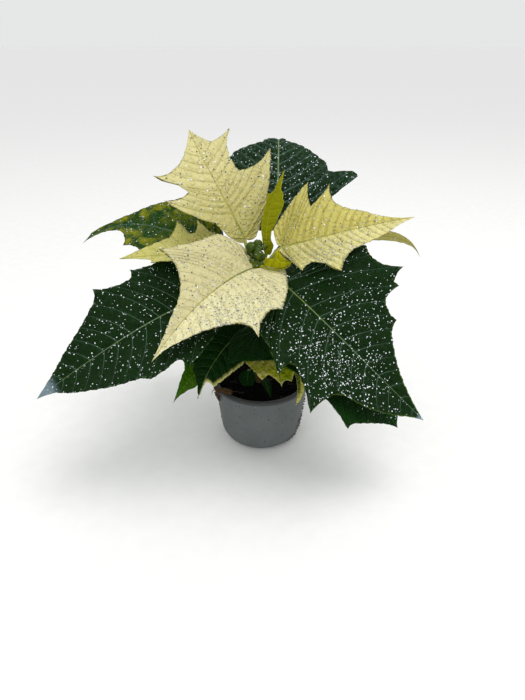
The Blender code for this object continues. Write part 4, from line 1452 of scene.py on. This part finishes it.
def lathe(name: str, profile: list[tuple[float, float]], steps: int) -> bmesh.types.BMesh:
    """Spin a profile about the Z axis into a closed solid.

    Args:
        name: what it is, for the log.
        profile: its places as (radius, height) in mm, from the axis round to the axis.
        steps: how many steps the spin has.

    Returns:
        The solid, still open for edits.
    """
    bm = bmesh.new()
    verts = [bm.verts.new((radius * MM, 0.0, height * MM)) for radius, height in profile]
    edges = [bm.edges.new(pair) for pair in zip(verts[:-1], verts[1:])]
    bmesh.ops.spin(bm, geom=verts + edges, cent=(0, 0, 0), axis=(0, 0, 1), angle=math.tau, steps=steps,
                   use_merge=True, use_normal_flip=False, use_duplicate=False)
    bmesh.ops.remove_doubles(bm, verts=bm.verts, dist=1e-6)
    bmesh.ops.dissolve_degenerate(bm, dist=1e-7, edges=bm.edges)
    bmesh.ops.recalc_face_normals(bm, faces=bm.faces)
    LOG.info("%s: spun from %d places", name, len(profile))
    return bm


def polar(radius: float, angle: float) -> tuple[float, float]:
    """Return x and y at a radius and an angle in radians."""
    return radius * math.cos(angle), radius * math.sin(angle)


def crumb(bm: bmesh.types.BMesh, place: Vector, size: float, chance: random.Random) -> None:
    """Add one lump of soil.

    Args:
        bm: the bmesh that it joins.
        place: its middle in mm.
        size: its mean radius in mm.
        chance: the source of chance.
    """
    middle = place * MM
    stretch = Matrix.Diagonal((size * chance.uniform(0.7, 1.4), size * chance.uniform(0.7, 1.3),
                               size * chance.uniform(0.55, 0.95), 1.0))
    turn = Matrix.Rotation(chance.uniform(0.0, math.tau), 4,
                           Vector((chance.gauss(0, 1), chance.gauss(0, 1), 1.0)))
    made = bmesh.ops.create_icosphere(bm, subdivisions=1, radius=MM,
                                      matrix=Matrix.Translation(middle) @ turn @ stretch)
    for vert in made["verts"]:
        vert.co = middle + (vert.co - middle) * chance.uniform(0.75, 1.2)


@dataclass
class NurseryPot:
    """The thin round plastic pot, in mm, and the crumbs that stick to its wall.

    The streak of crumbs on the right starts at an angle in degrees and sweeps on, and
    its height starts low and rises the other way.
    """

    height: float = 46.5
    rim_radius: float = 33.2
    rim_width: float = 3.2
    rim_depth: float = 2.4
    corner: float = 0.7
    top_radius: float = 32.6
    heel_radius: float = 28.5
    heel_height: float = 12.0
    base_radius: float = 18.4
    wall: float = 1.0
    floor: float = 1.6
    warp: float = 0.0018
    steps: int = 160
    drain_holes: int = 6
    drain_radius: float = 2.0
    drain_circle: float = 12.0
    right_crumbs: int = 90
    streak_angle: tuple[float, float] = (-3.0, -44.0)
    streak_height: tuple[float, float] = (3.5, 27.0)
    left_crumbs: int = 9
    stray_crumbs: int = 46

    def wall_radius(self, height: float) -> float:
        """Return the outer radius at a height."""
        if height < self.heel_height:
            sine = math.sqrt(1.0 - (1.0 - height / self.heel_height) ** 2)
            return self.base_radius + (self.heel_radius - self.base_radius) * sine
        share = (height - self.heel_height) / (self.height - self.heel_height)
        return self.heel_radius + (self.top_radius - self.heel_radius) * share

    def inner_radius(self, height: float) -> float:
        """Return the inner radius at a height."""
        return self.wall_radius(max(height - self.floor, 0.0)) - self.wall

    def profile(self) -> list[tuple[float, float]]:
        """Return the section of the wall, rim and floor as (radius, height)."""
        band, corner, inside = self.height - self.rim_depth, self.corner, self.rim_radius - self.rim_width
        heel = [self.heel_height * (1.0 - math.cos(math.radians(angle))) for angle in range(0, 91, 7)]
        tall = [self.heel_height + (band - self.heel_height) * i / 8 for i in range(1, 9)]
        outer = [(self.wall_radius(height), height) for height in heel + tall]
        quarter = [polar(corner, math.radians(angle)) for angle in range(0, 91, 15)]
        lip = [(self.rim_radius - corner + x, self.height - corner + y) for x, y in quarter]
        back = [(inside + corner - y, self.height - corner + x) for x, y in quarter]
        inner = [(self.inner_radius(height), height) for height in reversed(heel + tall[:-1])
                 if height > self.floor + 0.4]
        ledge = [(self.rim_radius - 0.15, band + 0.25), (self.rim_radius, band + 0.7)]
        bottom = [(self.inner_radius(self.floor), self.floor), (0.0, self.floor)]
        return [(0.0, 0.0), *outer, *ledge, *lip, *back, (inside, band), *inner, *bottom]

    def shell(self) -> bpy.types.Mesh:
        """Spin the pot and drill its drain holes.

        Returns:
            The pot's mesh.
        """
        bm = lathe("pot_shell", self.profile(), self.steps)
        for vert in bm.verts:
            angle = math.atan2(vert.co.y, vert.co.x)
            vert.co.xy *= 1.0 + self.warp * math.sin(3 * angle + 0.8) * vert.co.z / (self.height * MM)
        drills = bmesh.new()
        for i in range(self.drain_holes):
            made = bmesh.ops.create_cone(drills, cap_ends=True, segments=24, radius1=self.drain_radius * MM,
                                         radius2=self.drain_radius * MM, depth=12 * MM)
            spot = Vector((*polar(self.drain_circle, math.tau * i / self.drain_holes), 0.0)) * MM
            bmesh.ops.translate(drills, verts=made["verts"], vec=spot)
        pot, drill = (bpy.data.objects.new(name, taken(name, blank))
                      for name, blank in (("pot_blank", bm), ("pot_drills", drills)))
        for thing in (pot, drill):
            bpy.context.collection.objects.link(thing)
        cut = pot.modifiers.new("drain_holes", "BOOLEAN")
        cut.operation = "DIFFERENCE"
        cut.solver = "EXACT"
        cut.object = drill
        mesh = bpy.data.meshes.new_from_object(pot.evaluated_get(bpy.context.evaluated_depsgraph_get()))
        for thing in (pot, drill):
            bpy.data.objects.remove(thing)
        mesh.name = "pot_shell"
        mesh.set_sharp_from_angle(angle=math.radians(50))
        return mesh

    def grit(self) -> bpy.types.Mesh:
        """Stick crumbs of soil to the wall: a streak low on the right, a few on the left, and strays.

        Returns:
            The crumbs as one mesh.
        """
        chance = random.Random(5)
        spots = []
        (start, sweep), (low, rise) = self.streak_angle, self.streak_height
        for _ in range(self.right_crumbs):
            share = chance.random()
            height = low + rise * (1.0 - share) ** 1.7
            spots.append((start + sweep * share + chance.gauss(0.0, 3.5), height + chance.gauss(0.0, 1.6),
                          chance.uniform(0.35, 1.0)))
        for _ in range(self.left_crumbs):
            spots.append((chance.gauss(-162.0, 7.0), chance.gauss(20.0, 7.0), chance.uniform(0.25, 0.5)))
        for _ in range(self.stray_crumbs):
            spots.append((chance.uniform(0.0, 360.0), chance.uniform(3.0, 43.0), chance.uniform(0.15, 0.34)))
        left = iter(spots)

        def stick(bm: bmesh.types.BMesh) -> None:
            """Stick the next crumb to the wall."""
            angle, height, size = next(left)
            height = min(max(height, 1.5), 43.0)
            place = Vector((*polar(self.wall_radius(height) + size * 0.2, math.radians(angle)), height))
            crumb(bm, place, size, chance)

        return gathered("pot_grit", len(spots), stick)

    def dress_up(self) -> None:
        """Seat the pot and its grit."""
        seat("pot_shell", self.shell(), PlasticFinish().material(), "pot")
        grit = GrainFinish("pot_grit", (82, 82, 79), (106, 107, 105), 700.0, 0.85, 0.0003, 0.7)
        seat("pot_grit", self.grit(), grit.material())


@dataclass
class PottingSoil:
    """The peat in the pot with its crumbled top, in mm, and the bits that lie and hang on it."""

    top: float = 42.2
    lump: float = 0.6
    rough: float = 0.75
    rim: float = 29.7
    gap: float = 0.3
    wall_heights: tuple[float, ...] = (3.0, 4.8, 8.2, 13.6, 26.0, 37.5)
    rings: int = 54
    steps: int = 200
    crumbs: int = 620
    hanging_crumbs: int = 46
    hanging_angle: float = -151.0
    hanging_drop: tuple[float, float] = (-1.0, 8.0)
    twig: tuple[tuple[float, float], tuple[float, float], float] = ((-19.5, -14.0), (-12.0, -16.2), 0.42)
    fibres: int = 9
    fibre_radius: float = 0.17
    fibre_reach: float = 24.0
    twig_reach: float = 28.5

    def height(self, x: float, y: float) -> float:
        """Return the height of the soil's top at a place."""
        swell = (math.sin(0.42 * x + 1.0) * math.cos(0.37 * y - 0.6) + 0.5 * math.sin(0.95 * x - 0.7 * y)
                 + 0.3 * math.cos(1.3 * y + 0.5 * x))
        grain = noise.fractal(Vector((x, y, 3.0)) * 0.55, 0.9, 2.1, 5)
        return self.top + self.lump * swell + self.rough * grain

    def plug(self, pot: NurseryPot) -> bpy.types.Mesh:
        """Make the plug that fills the pot.

        Args:
            pot: the pot that it fills.

        Returns:
            The plug's mesh.
        """
        low = pot.floor + self.gap
        walls = [(pot.inner_radius(height) - self.gap, height) for height in (low, *self.wall_heights)]
        tops = [(self.rim * i / self.rings, self.top) for i in range(self.rings, -1, -1)]
        bm = lathe("soil_plug", [(0.0, low)] + walls + tops, self.steps)
        for vert in bm.verts:
            if vert.co.z > (self.top - 0.1) * MM:
                vert.co.z = self.height(vert.co.x / MM, vert.co.y / MM) * MM
        return taken("soil_plug", bm)

    def loose(self) -> bpy.types.Mesh:
        """Scatter crumbs over the top.

        Returns:
            The crumbs as one mesh.
        """
        chance = random.Random(11)

        def lay(bm: bmesh.types.BMesh) -> None:
            """Lay one crumb on the soil."""
            angle, radius = chance.uniform(0.0, math.tau), (self.rim - 0.8) * math.sqrt(chance.random())
            x, y = polar(radius, angle)
            size = 0.35 + 0.95 * chance.random() ** 2.2
            crumb(bm, Vector((x, y, self.height(x, y) + size * 0.25)), size, chance)

        return gathered("soil_crumbs", self.crumbs, lay)

    def hanging(self) -> bpy.types.Mesh:
        """Hang the damp bits over the left of the rim.

        Returns:
            The bits as one mesh.
        """
        chance = random.Random(23)
        bm = bmesh.new()
        for _ in range(self.hanging_crumbs):
            drop = chance.uniform(*self.hanging_drop)
            angle = math.radians(chance.gauss(self.hanging_angle, 3.4 - 0.2 * drop))
            place = Vector((*polar(33.9 - 0.07 * drop, angle), 46.6 - drop))
            crumb(bm, place, chance.uniform(0.5, 1.2), chance)
        bmesh.ops.recalc_face_normals(bm, faces=bm.faces)
        return taken("rim_crumbs", bm)

    def twigs(self) -> bpy.types.Mesh:
        """Lay the thin twig and some fibres on the soil.

        Returns:
            The twigs as one mesh.
        """
        chance = random.Random(31)
        runs = [self.twig]
        for _ in range(self.fibres):
            angle, radius = chance.uniform(0.0, math.tau), self.fibre_reach * math.sqrt(chance.random())
            turn, length = chance.uniform(0.0, math.tau), chance.uniform(3.0, 7.5)
            x, y = polar(radius, angle)
            along, across = polar(length, turn)
            runs.append(((x, y), (x + along, y + across), self.fibre_radius))
        joined = bmesh.new()
        for start, end, thick in runs:
            share = np.linspace(0.0, 1.0, 14)
            flat = np.array(start) + (np.array(end) - np.array(start)) * share[:, None]
            flat += 0.35 * np.sin(share * 7.0)[:, None]
            away = np.maximum(np.linalg.norm(flat, axis=1), 1e-9)
            flat *= np.minimum(1.0, self.twig_reach / away)[:, None]
            rise = np.array([self.height(x, y) for x, y in flat]) + thick + 0.3
            places = np.concatenate([flat, rise[:, None]], axis=1)
            joined.from_mesh(tube_mesh("fibre", places, np.full(14, thick), 8, 0.25))
        return taken("soil_twigs", joined)

    def dress_up(self, pot: NurseryPot) -> None:
        """Seat the soil and what lies on it.

        Args:
            pot: the pot that holds it.
        """
        peat = PeatFinish().material()
        seat("soil_plug", self.plug(pot), peat, "soil")
        seat("soil_crumbs", self.loose(), peat)
        damp = GrainFinish("rim_crumbs", (26, 18, 12), (96, 62, 40), 500.0, 0.9, 0.0004, 0.8)
        seat("rim_crumbs", self.hanging(), damp.material())
        brown = GrainFinish("twig_brown", (42, 31, 20), (76, 60, 40), 900.0, 0.8, 0.0002, 0.5, 0.6)
        seat("soil_twigs", self.twigs(), brown.material())


# Flower buds


@dataclass
class FlowerBuds:
    """The cluster of small green buds at the top, each as (x, y, z, radius) in mm."""

    buds: tuple[tuple[float, float, float, float], ...] = (
        (-3.0, 0.0, 135.3, 2.7), (-2.6, -0.8, 138.0, 3.2), (-6.0, -2.0, 140.0, 3.2), (-1.8, 1.0, 141.0, 2.8),
        (-1.4, -4.6, 135.9, 3.4), (1.5, 1.0, 139.0, 2.2), (-4.5, -3.2, 135.2, 1.9), (-4.6, 2.8, 139.4, 2.5),
        (-2.4, -4.9, 131.1, 2.6), (-5.0, -4.6, 131.9, 2.3), (-3.4, -5.6, 129.6, 2.2), (0.3, -5.0, 130.6, 2.4),
        (1.5, -3.0, 134.2, 2.1), (-6.3, -1.0, 136.6, 2.4))
    heart: Point = (-2.6, 0.0, 131.5)
    crease: float = 0.16
    crown: float = 0.1
    dimple: float = 0.16
    grain: float = 0.05
    level: int = 5
    glints: int = 44

    def mesh(self) -> bpy.types.Mesh:
        """Make the buds: round, with a dimpled and lobed crown that faces away from the heart."""
        bm = bmesh.new()
        for i, (x, y, z, radius) in enumerate(self.buds):
            place = Vector((x, y, z))
            made = bmesh.ops.create_icosphere(bm, subdivisions=self.level, radius=radius * MM)
            basis = (place - Vector(self.heart)).normalized().to_track_quat("Z", "Y")
            for vert in made["verts"]:
                at = vert.co.normalized()
                top = max(at.z, 0.0)
                lobes = top ** 3 * (0.5 + 0.5 * math.cos(3 * math.atan2(at.y, at.x) + i))
                grow = 1.0 - self.crease * lobes - self.crown * top ** 14 + 0.05 * at.z
                grow -= self.dimple * abs(noise.noise(at * 2.4 + Vector((i, 0, 0))))
                grow += self.grain * noise.noise(at * 6.0 + Vector((0, i, 0)))
                vert.co = basis @ (vert.co * grow) + place * MM
        bmesh.ops.recalc_face_normals(bm, faces=bm.faces)
        return taken("bud_cluster", bm)

    def flakes(self) -> bpy.types.Mesh:
        """Scatter flakes of glitter over the buds' upper sides, all white as painted glints."""
        chance = random.Random(17)
        spots = []
        while len(spots) < self.glints:
            x, y, z, radius = chance.choice(self.buds[1:])
            way = Vector((chance.gauss(0, 1), chance.gauss(-0.5, 1), chance.gauss(0.8, 1))).normalized()
            spot = Vector((x, y, z)) + way * radius * 0.98
            if all((spot - Vector(other[:3])).length > other[3] * 0.97 for other in self.buds):
                spots.append((spot, way))
        left = iter(spots)

        def flake(bm: bmesh.types.BMesh) -> None:
            """Lay the next flake on a bud."""
            spot, way = next(left)
            radius = chance.uniform(0.13, 0.27)
            place = Matrix.Translation(spot * MM) @ way.to_track_quat("Z", "Y").to_matrix().to_4x4()
            lay_flake(bm, place @ Matrix.Diagonal((radius, radius, radius * 0.25, 1.0)))

        # every bud flake is a full painted glint
        return with_glints(gathered("bud_glitter", self.glints, flake), [1.0] * self.glints)

    def dress_up(self, sparkle: bpy.types.Material) -> None:
        """Seat the buds and their glitter.

        Args:
            sparkle: the material of the glitter.
        """
        seat("bud_cluster", self.mesh(), BudFinish().material(), "flower_buds")
        seat("bud_glitter", self.flakes(), sparkle)


# Stage


@dataclass
class Studio:
    """The floor, the lights and the camera, in metres and degrees."""

    eye: Point = (0.001, -0.308, 0.245)
    tilt: float = 60.0
    lens: float = 27.05
    sensor: float = 36.0
    aim: Point = (0.0, 0.0, 0.1)
    floor_size: float = 400.0
    air: tuple[float, float, float, float] = (0.99, 0.995, 1.0, 1.0)
    air_strength: float = 0.8

    def floor(self) -> None:
        """Lay the pale floor."""
        bm = bmesh.new()
        bmesh.ops.create_grid(bm, x_segments=1, y_segments=1, size=self.floor_size / 2)
        mesh = taken("studio_floor", bm, False)
        shader = Shader("studio_paper")
        grain = shader.noise(shader.place(), 90.0, 4.0, 0.5)
        colour = shader.mix(shader.span(grain, 0.3, 0.7), tone((252, 252, 251)), tone((255, 255, 254)))
        mesh.materials.append(shader.finish(colour, 0.9, Specular_IOR_Level=0.1))
        floor = bpy.data.objects.new("studio_floor", mesh)
        bpy.context.collection.objects.link(floor)

    def light(self, name: str, place: Point, size: float, power: float,
              warmth: tuple[float, float, float]) -> None:
        """Hang one soft square light that faces the plant.

        Args:
            name: its name.
            place: where it hangs.
            size: its side.
            power: its power in watts.
            warmth: its colour.
        """
        lamp = bpy.data.lights.new(name, "AREA")
        lamp.shape = "SQUARE"
        lamp.size = size
        lamp.energy = power
        lamp.color = warmth
        hung = bpy.data.objects.new(name, lamp)
        hung.location = place
        hung.rotation_euler = (Vector(self.aim) - Vector(place)).to_track_quat("-Z", "Y").to_euler()
        bpy.context.collection.objects.link(hung)

    def build(self) -> None:
        """Set the floor, the lights, the world and the camera."""
        self.floor()
        self.light("light_above", (0.25, -0.15, 1.2), 0.7, 5.0, (1.0, 0.985, 0.96))
        self.light("light_front", (-0.5, -1.0, 0.8), 0.8, 1.2, (1.0, 0.99, 0.98))
        world = bpy.data.worlds.new("studio_air")
        world.use_nodes = True
        sky = world.node_tree.nodes["Background"]
        sky.inputs["Color"].default_value = self.air
        sky.inputs["Strength"].default_value = self.air_strength
        bpy.context.scene.world = world
        camera = bpy.data.cameras.new("camera")
        camera.lens = self.lens
        camera.sensor_width = self.sensor
        seen = bpy.data.objects.new("camera", camera)
        seen.location = self.eye
        seen.rotation_euler = (math.radians(self.tilt), 0.0, 0.0)
        bpy.context.collection.objects.link(seen)
        bpy.context.scene.camera = seen
        bpy.context.scene.view_settings.view_transform = "Standard"


# Looks of the leaves

CREAM = BladeFinish(
    "bract_cream", left=(224, 217, 160), right=(224, 217, 160), cloud=(198, 188, 112), vein=(150, 142, 62),
    rib=(106, 118, 10), rib_tip=(184, 176, 92), under=(186, 186, 104), margin=(232, 226, 176), rib_width=0.75,
    vein_width=0.9, vein_share=0.36, net=0.12, speck=0.14, speck_colour=(116, 104, 66), cloud_size=6.0,
    cloud_share=0.4, hollow=0.25, quilt=1.7, groove=-0.6, foot=(158, 152, 70), foot_share=0.7, bump=1.0)
OLIVE = replace(
    CREAM, slot="bract_olive", left=(216, 211, 130), right=(216, 211, 130), cloud=(166, 164, 56),
    vein=(160, 156, 60), rib=(130, 136, 34), rib_tip=(176, 170, 74), under=(140, 146, 40),
    margin=(214, 208, 130))
YOUNG = replace(
    CREAM, slot="bract_young", left=(136, 138, 2), right=(136, 138, 2), cloud=(104, 114, 2),
    vein=(156, 156, 30), rib=(144, 148, 24), rib_tip=(150, 150, 24), under=(172, 172, 4),
    margin=(196, 192, 84), speck=0.04,
    cloud_size=7.0, quilt=0.6, hollow=0.1, gloss=0.08, foot_share=0.0)
DARK = BladeFinish(
    "leaf_green", left=(18, 47, 7), right=(18, 47, 7), cloud=(5, 25, 3), vein=(88, 118, 92),
    rib=(106, 130, 50), rib_tip=(96, 122, 108), under=(46, 78, 30), margin=(18, 44, 10),
    vein_width=0.42, vein_share=0.8, net=0.07, net_size=3.2, haze=(70, 92, 80), haze_share=0.2,
    hollow=0.5, quilt=2.0, gloss=0.06)
DEEP = replace(
    DARK, left=(12, 52, 3), right=(12, 52, 3), cloud=(3, 26, 1), vein=(62, 92, 56), rib=(88, 116, 72),
    rib_tip=(60, 88, 50), vein_share=0.55, haze_share=0.0, quilt=2.4, net_size=2.4, gloss=0.05)
BRIGHT = replace(
    DARK, slot="leaf_bright", left=(76, 118, 1), right=(66, 110, 1), cloud=(40, 84, 1), vein=(84, 128, 36),
    rib=(130, 160, 70), rib_tip=(104, 140, 44), under=(72, 104, 32), haze_share=0.0, net=0.15)
MOTTLED = replace(
    DARK, slot="leaf_mottled", left=(22, 60, 8), right=(22, 60, 8), cloud=(142, 144, 16), cloud_share=0.9,
    cloud_size=7.0, cloud_edge=0.15, cloud_at=0.54, cloud_out=True, hollow=0.0, haze_share=0.5)
DRY = BladeFinish(
    "dry_leaf", left=(140, 102, 58), right=(140, 102, 58), cloud=(84, 54, 28), vein=(64, 40, 22),
    rib=(60, 38, 22), rib_tip=(84, 56, 32), under=(98, 66, 38), margin=(78, 52, 30), cloud_size=3.0,
    cloud_share=0.9, net=0.5, net_size=1.0, speck=0.3, speck_colour=(40, 28, 20), roughness=0.85)

# most of these flakes are painted glints, white by their base colour
GLINTING_DUST = Glitter(160, size=(0.19, 0.46))
GREY_DUST = Glitter(300, bright=0.35, size=(0.22, 0.6))
STREAKS = Glitter(680, bright=0.12, size=(0.17, 0.32), stretch=2.4, dull=(0.42, 0.55), even=0.2,
                  clusters=((45, 22, 12, 2.0), (20, 24, 12, 1.4)))

DRESSES = {
    "bract_upper_left": LeafDress(CREAM, vein_gap=5.5, puff=0.75, glitter=(GREY_DUST,)),
    # bract_front: the left half is painted lighter and the right half darker, painted light and painted shade
    # for how the light falls on each half
    "bract_front": LeafDress(
        replace(CREAM, left=(243, 237, 190), right=(219, 212, 162), cloud=(204, 196, 138),
                haze=(184, 180, 162), haze_share=0.25, foot_share=0.05, vein_share=0.2),
        vein_gap=6.0, puff=0.6, glitter=(replace(GREY_DUST, count=360), STREAKS)),
    # bract_right: the left half is painted darker olive and the right half lighter cream, painted shade and
    # painted light for how the light falls on each half
    "bract_right": LeafDress(
        replace(CREAM, left=(219, 208, 118), right=(242, 235, 170), cloud=(186, 178, 84),
                haze=(184, 180, 162), haze_share=0.2, foot_share=0.3, vein=(142, 134, 46), vein_width=1.3,
                vein_share=0.42),
        vein_gap=5.0, puff=1.0,
        glitter=(replace(GREY_DUST, count=220),
                 replace(STREAKS, count=380, stretch=2.2, even=0.1,
                         clusters=((20, -16, 9, 2.0), (34, -14, 9, 1.6))))),
    "bract_back_left": LeafDress(OLIVE, glitter=(replace(GREY_DUST, count=90, bright=0.3),)),
    "bract_back_right": LeafDress(
        replace(OLIVE, left=(160, 152, 76), right=(160, 152, 76), cloud=(120, 120, 34), vein=(136, 132, 50),
                rib=(112, 118, 30), rib_tip=(112, 114, 40), margin=(164, 158, 84)),
        glitter=(replace(GREY_DUST, count=40, bright=0.3),)),
    "young_bract_upright": LeafDress(YOUNG, vein_gap=5.0, puff=0.2, wave=0.25, ripple=0.1),
    # young_bract_cup: the left half, the far wall's inside, is painted much lighter than the right half,
    # painted light on a wall that lies in shade
    "young_bract_cup": LeafDress(
        replace(YOUNG, left=(196, 192, 6), right=(130, 132, 2), margin=(214, 210, 118), margin_width=0.9,
                margin_share=0.8),
        vein_gap=4.0, puff=0.15, wave=0.15, ripple=0.08),
    "leaf_front_right": LeafDress(
        replace(DARK, margin=(96, 124, 40), margin_width=0.7, margin_share=0.8, glue_tip=0.05,
                haze_share=0.25),
        vein_gap=9.5, puff=0.85,
        glitter=(replace(GLINTING_DUST, count=1000, even=0.35,
                         clusters=((50, -24, 17, 2.0), (72, -14, 14, 1.5), (44, 20, 13, 1.1),
                                   (28, -18, 10, 1.0))),)),
    "leaf_left": LeafDress(
        replace(DARK, rib=(120, 146, 92), rib_tip=(104, 132, 122), glue_tip=0.13),
        vein_gap=9.5, puff=0.85, glitter=(replace(GLINTING_DUST, count=520),)),
    "leaf_back": LeafDress(
        replace(DARK, left=(22, 52, 16), right=(24, 54, 17), vein=(96, 122, 112), vein_width=0.7,
                rib=(110, 138, 120), rib_tip=(110, 138, 128), rib_width=0.9, haze=(92, 114, 104),
                haze_share=0.7),
        vein_gap=7.0, puff=1.2,
        glitter=(replace(GLINTING_DUST, count=500, even=0.04, clusters=((24, 0, 27, 1.0),)),)),
    "leaf_back_left": LeafDress(MOTTLED, glitter=(replace(GLINTING_DUST, count=220),)),
    "leaf_front_left_low": LeafDress(
        replace(DEEP, margin=(218, 212, 128), margin_width=2.6, margin_share=0.95, margin_side=1),
        vein_gap=5.5, puff=0.7),
    "leaf_left_low": LeafDress(BRIGHT, vein_gap=6.0),
    "leaf_right_low": LeafDress(
        replace(DEEP, left=(26, 72, 7), right=(14, 62, 5)), vein_gap=9.0,
        glitter=(replace(GLINTING_DUST, count=60, even=0.0, clusters=((90, 0, 12, 1.0), (60, 22, 10, 0.6))),)),
    "leaf_front_low": LeafDress(
        replace(MOTTLED, left=(84, 122, 8), right=(212, 200, 112), cloud=(160, 164, 16), cloud_at=0.5,
                cloud_edge=0.12, cloud_out=False, vein=(146, 150, 60), vein_share=0.35, haze_share=0.0,
                margin=(222, 214, 130), margin_width=1.1, margin_share=0.85),
        vein_gap=5.0),
    "leaf_hooked_low": LeafDress(
        replace(DEEP, slot="leaf_mottled", left=(204, 198, 104), cloud=(150, 156, 50), cloud_share=0.3,
                vein_share=0.2, margin=(214, 208, 130), margin_width=0.5, glue=(204, 198, 104), glue_tip=0.2),
        vein_gap=6.0),
    "leaf_hidden_back_right": LeafDress(DARK, vein_gap=9.5, puff=0.6, glitter=(GLINTING_DUST,)),
    "leaf_hidden_back_left": LeafDress(DARK, vein_gap=9.5, puff=0.6, glitter=(GLINTING_DUST,)),
    "leaf_basal_round": LeafDress(
        replace(DEEP, left=(16, 56, 8), right=(16, 56, 8), rib=(30, 72, 20), vein_share=0.2,
                margin=(44, 84, 30)),
        vein_gap=3.0, puff=0.15, wave=0.2, ripple=0.08),
    "leaf_basal_narrow": LeafDress(
        replace(DEEP, rib=(24, 60, 20), vein_share=0.15), vein_gap=4.0, puff=0.15, wave=0.2, ripple=0.08),
    "leaf_withered": LeafDress(DRY, vein_gap=2.4, puff=0.3, wave=0.3, ripple=0.3, crumple=0.45),
}

WITHERED = LeafPlan(
    "leaf_withered", "dry", 0.0, (-18.5, -22.5, 48.1), (-26, -21, 49.4), (-33.5, -17, 50.6),
    (-33.5, -13.5, 39), 0.0, (-8, -8), bend=(20, 20), stalk=0.0,
    left=((1, 2.4, 0.4), (9, 2.5, 0.5)), right=((1, 2.4, 0.4), (9, 2.5, 0.5)))

STALKS = {
    kind: GrainFinish("stalk_" + kind, low, high, 420.0, 0.5, 0.0002, 0.4, 0.6, 0.5)
    for kind, low, high in (
        ("cream", (150, 158, 60), (190, 184, 90)), ("olive", (130, 142, 50), (160, 160, 70)),
        ("young", (136, 144, 8), (162, 164, 14)), ("green", (84, 112, 50), (120, 140, 70)),
        ("bright", (92, 130, 40), (130, 160, 70)), ("mottled", (100, 126, 50), (140, 154, 70)))
}


def main() -> None:
    """Build and dress each sub-assembly in order."""
    logging.basicConfig(level=logging.INFO, format="%(name)s: %(message)s")
    Studio().build()
    pot = NurseryPot()
    pot.dress_up()
    PottingSoil().dress_up(pot)
    stem = Stem()
    stem.dress_up([plan.root for plan in LEAVES])
    sparkle = GlitterFinish().material()
    FlowerBuds().dress_up(sparkle)
    stalks = {kind: finish.material() for kind, finish in STALKS.items()}
    for plan in (*LEAVES, WITHERED):
        LeafPiece(plan, DRESSES[plan.name]).dress_up(stem, stalks, sparkle)


if __name__ == "__main__":
    main()
